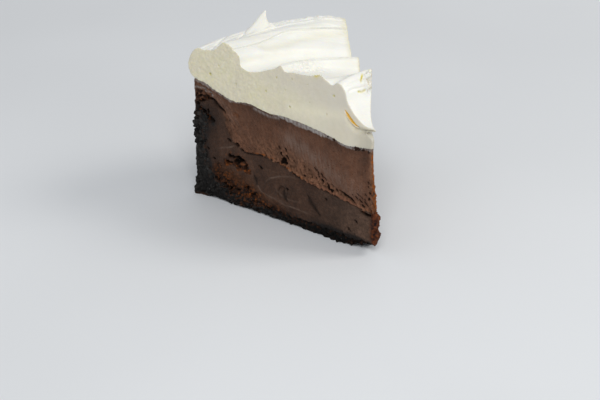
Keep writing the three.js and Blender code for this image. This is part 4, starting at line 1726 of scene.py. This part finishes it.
class MUDPIE_OT_fudge(bpy.types.Operator):
    """Rolls the fudge layer, with its pores, void and knife marks"""
    bl_idname = "mudpie.fudge"
    bl_label = "Fudge Layer"

    def execute(self, context):
        sizes, colours = context.scene.mud_pie_sizes, context.scene.mud_pie_colours
        fudge = roll_layer("Fudge_Layer", fudge_section)
        even_skin(fudge, sizes.chocolate_grid)
        work_layer(fudge, (roughen_crust_edge, roughen_seam, fudge_relief), sizes, mark_fudge)
        finish_piece(fudge, finish("Fudge", colours), "fudge", "fudge_layer")
        return {"FINISHED"}


class MUDPIE_OT_mousse(bpy.types.Operator):
    """Rolls the mousse layer, with its knife streaks and torn seam"""
    bl_idname = "mudpie.mousse"
    bl_label = "Mousse Layer"

    def execute(self, context):
        sizes, colours = context.scene.mud_pie_sizes, context.scene.mud_pie_colours
        mousse = roll_layer("Mousse_Layer", mousse_section)
        even_skin(mousse, sizes.chocolate_grid)
        work_layer(mousse, (roughen_crust_edge, roughen_seam, mousse_relief), sizes, mark_mousse)
        finish_piece(mousse, finish("Chocolate Mousse", colours), "mousse", "mousse_layer")
        return {"FINISHED"}


class MUDPIE_OT_cream(bpy.types.Operator):
    """Rolls the whipped cream and spreads its ridges, folds and hooked peak"""
    bl_idname = "mudpie.cream"
    bl_label = "Whipped Cream"

    def execute(self, context):
        sizes, colours = context.scene.mud_pie_sizes, context.scene.mud_pie_colours
        cream = roll_layer("Whipped_Cream", cream_section, CREAM_STATIONS)
        carve_crevice(cream)
        even_skin(cream, sizes.cream_grid)
        lean_peak(Skin(cream))
        work_layer(cream, (cream_relief,), sizes, mark_cream)
        finish_piece(cream, finish("Whipped Cream", colours), "cream", "whipped_cream")
        return {"FINISHED"}


class MUDPIE_OT_crumbs(bpy.types.Operator):
    """Scatters the crumbs that stand out of the crust"""
    bl_idname = "mudpie.crumbs"
    bl_label = "Loose Crumbs"

    def execute(self, context):
        sizes, colours = context.scene.mud_pie_sizes, context.scene.mud_pie_colours
        crust = bpy.data.objects["Crumb_Crust"]
        skin = Skin(crust)
        wall = skin.beyond(110, 112.5) * skin.higher(1, 3)
        wall_top = skin.higher(26, 30) * (skin.r > 110)
        foot = skin.on_cuts * skin.lower(1.5, 5)
        foot *= 1 + 1.5 * skin.within(25, 50)
        weights = wall + 2 * wall_top + 3 * foot + 0.2 * skin.on_cuts
        crumbs = scatter("Loose_Crumbs", crust, weights, sizes.loose_crumbs, 61, CRUMB_WIDTHS)
        keep_above_floor(crumbs)
        mark_crust(Skin(crumbs))
        finish_piece(crumbs, finish("Cookie Crumb", colours), "crumbs")
        return {"FINISHED"}


class MUDPIE_OT_torn_bits(bpy.types.Operator):
    """Scatters the chocolate torn loose along the seam, at the tip and in the porous fudge"""
    bl_idname = "mudpie.torn_bits"
    bl_label = "Torn Chocolate"

    def execute(self, context):
        number, colours = context.scene.mud_pie_sizes.torn_bits, context.scene.mud_pie_colours
        fudge = bpy.data.objects["Fudge_Layer"]
        skin = Skin(fudge)
        seam = bell(skin.from_seam - 0.2, 0.8) * skin.on_cuts
        seam *= skin.within(66, 76)
        torn = 0.5 * seam + 0.6 * porous_share(skin) + torn_share(skin)
        tip = skin.within(2.2, 3.6)
        tip *= skin.higher(4, 6) + 3 * skin.higher(16, 18)
        bits = scatter("Torn_Fudge", fudge, torn, number, 71, BIT_WIDTHS, sink=0.4, stretch=1.9)
        ledge = scatter("Tip_Ledge", fudge, tip, number // 4, 72, LEDGE_WIDTHS, sink=0.1)
        for loose in (bits, ledge):
            mark_torn(loose)
            finish_piece(loose, finish("Fudge", colours), "fudge")
        mousse = bpy.data.objects["Mousse_Layer"]
        skin = Skin(mousse)
        along = value_at(FLECKS_ALONG, skin.r) * (skin.z > FLECKS_ABOVE)
        smeared = skin.on_cuts * bell(skin.gap(SMEAR_LINE), 0.7) * along
        flecks = scatter("Mousse_Flecks", mousse, smeared, number // 4, 73, BIT_WIDTHS, sink=0.1)
        finish_piece(flecks, finish("Chocolate Mousse", colours), "mousse")
        return {"FINISHED"}


class MUDPIE_OT_stage(bpy.types.Operator):
    """Sets the pale floor, the soft studio light and the camera"""
    bl_idname = "mudpie.stage"
    bl_label = "Stage"

    def execute(self, context):
        lay_floor()
        light_studio(context.scene)
        place_camera(context.scene)
        return {"FINISHED"}


def lay_floor():
    deselect_all()
    bpy.ops.mesh.primitive_plane_add(size=FLOOR_SIZE)
    floor = bpy.context.object
    floor.name = "Floor"
    paint = Finish("Pale Floor")
    clouds = paint.mottling(0.3, 2.0, 0.2)
    paint.feed("Base Color", paint.blend(clouds, (0.76, 0.77, 0.78), (0.79, 0.80, 0.81)))
    paint.feed("Roughness", 0.6)
    floor.data.materials.append(paint.material)


def soft_light(name, azimuth, elevation, distance, size, power, tint):
    """A square area light that faces the slice from an azimuth round it and a height above it."""
    bpy.ops.object.light_add(type="AREA")
    lamp = bpy.context.object
    lamp.name = name
    height = math.radians(elevation)
    turn = math.radians(azimuth)
    across = distance * math.cos(height)
    lamp.location = (across * math.cos(turn), across * math.sin(turn), distance * math.sin(height))
    towards = Vector(LAMPS_AIM_AT) - lamp.location
    lamp.rotation_euler = towards.to_track_quat("-Z", "Y").to_euler()
    lamp.data.size = size
    lamp.data.energy = power
    lamp.data.color = tint


def light_studio(scene):
    deselect_all()
    for lamp in LAMPS:
        soft_light(*lamp)
    world = bpy.data.worlds.new("Soft Room")
    scene.world = world
    world.use_nodes = True
    background = world.node_tree.nodes["Background"]
    background.inputs["Color"].default_value = ROOM_COLOUR
    background.inputs["Strength"].default_value = ROOM_STRENGTH
    scene.view_settings.view_transform = "Standard"


def place_camera(scene):
    deselect_all()
    bpy.ops.object.camera_add(location=CAMERA_PLACE)
    camera = bpy.context.object
    pitch = math.radians(CAMERA_PITCH)
    level = Vector(CAMERA_HEADING).normalized() * math.cos(pitch)
    view = Vector((level.x, level.y, -math.sin(pitch)))
    camera.rotation_euler = view.to_track_quat("-Z", "Y").to_euler()
    camera.data.lens = CAMERA_LENS
    camera.data.sensor_width = CAMERA_SENSOR
    scene.camera = camera


class MUDPIE_PT_panel(bpy.types.Panel):
    """Lists the pieces of the slice"""
    bl_idname = "MUDPIE_PT_panel"
    bl_label = "Mud Pie"
    bl_space_type = "VIEW_3D"
    bl_region_type = "UI"
    bl_category = "Mud Pie"

    def draw(self, context):
        for group in (context.scene.mud_pie_sizes, context.scene.mud_pie_colours):
            column = self.layout.column()
            for name in group.__annotations__:
                column.prop(group, name)
        for operator in OPERATORS:
            self.layout.operator(operator.bl_idname)


OPERATORS = (
    MUDPIE_OT_crust,
    MUDPIE_OT_fudge,
    MUDPIE_OT_mousse,
    MUDPIE_OT_cream,
    MUDPIE_OT_crumbs,
    MUDPIE_OT_torn_bits,
    MUDPIE_OT_stage,
)
CLASSES = (MudPieSizes, MudPieColours, *OPERATORS, MUDPIE_PT_panel)


def register():
    for cls in CLASSES:
        bpy.utils.register_class(cls)
    bpy.types.Scene.mud_pie_sizes = PointerProperty(type=MudPieSizes)
    bpy.types.Scene.mud_pie_colours = PointerProperty(type=MudPieColours)


def unregister():
    del bpy.types.Scene.mud_pie_sizes
    del bpy.types.Scene.mud_pie_colours
    for cls in reversed(CLASSES):
        bpy.utils.unregister_class(cls)


def main():
    register()
    bpy.ops.mudpie.crust()
    bpy.ops.mudpie.fudge()
    bpy.ops.mudpie.mousse()
    bpy.ops.mudpie.cream()
    bpy.ops.mudpie.crumbs()
    bpy.ops.mudpie.torn_bits()
    bpy.ops.mudpie.stage()


if __name__ == "__main__":
    main()
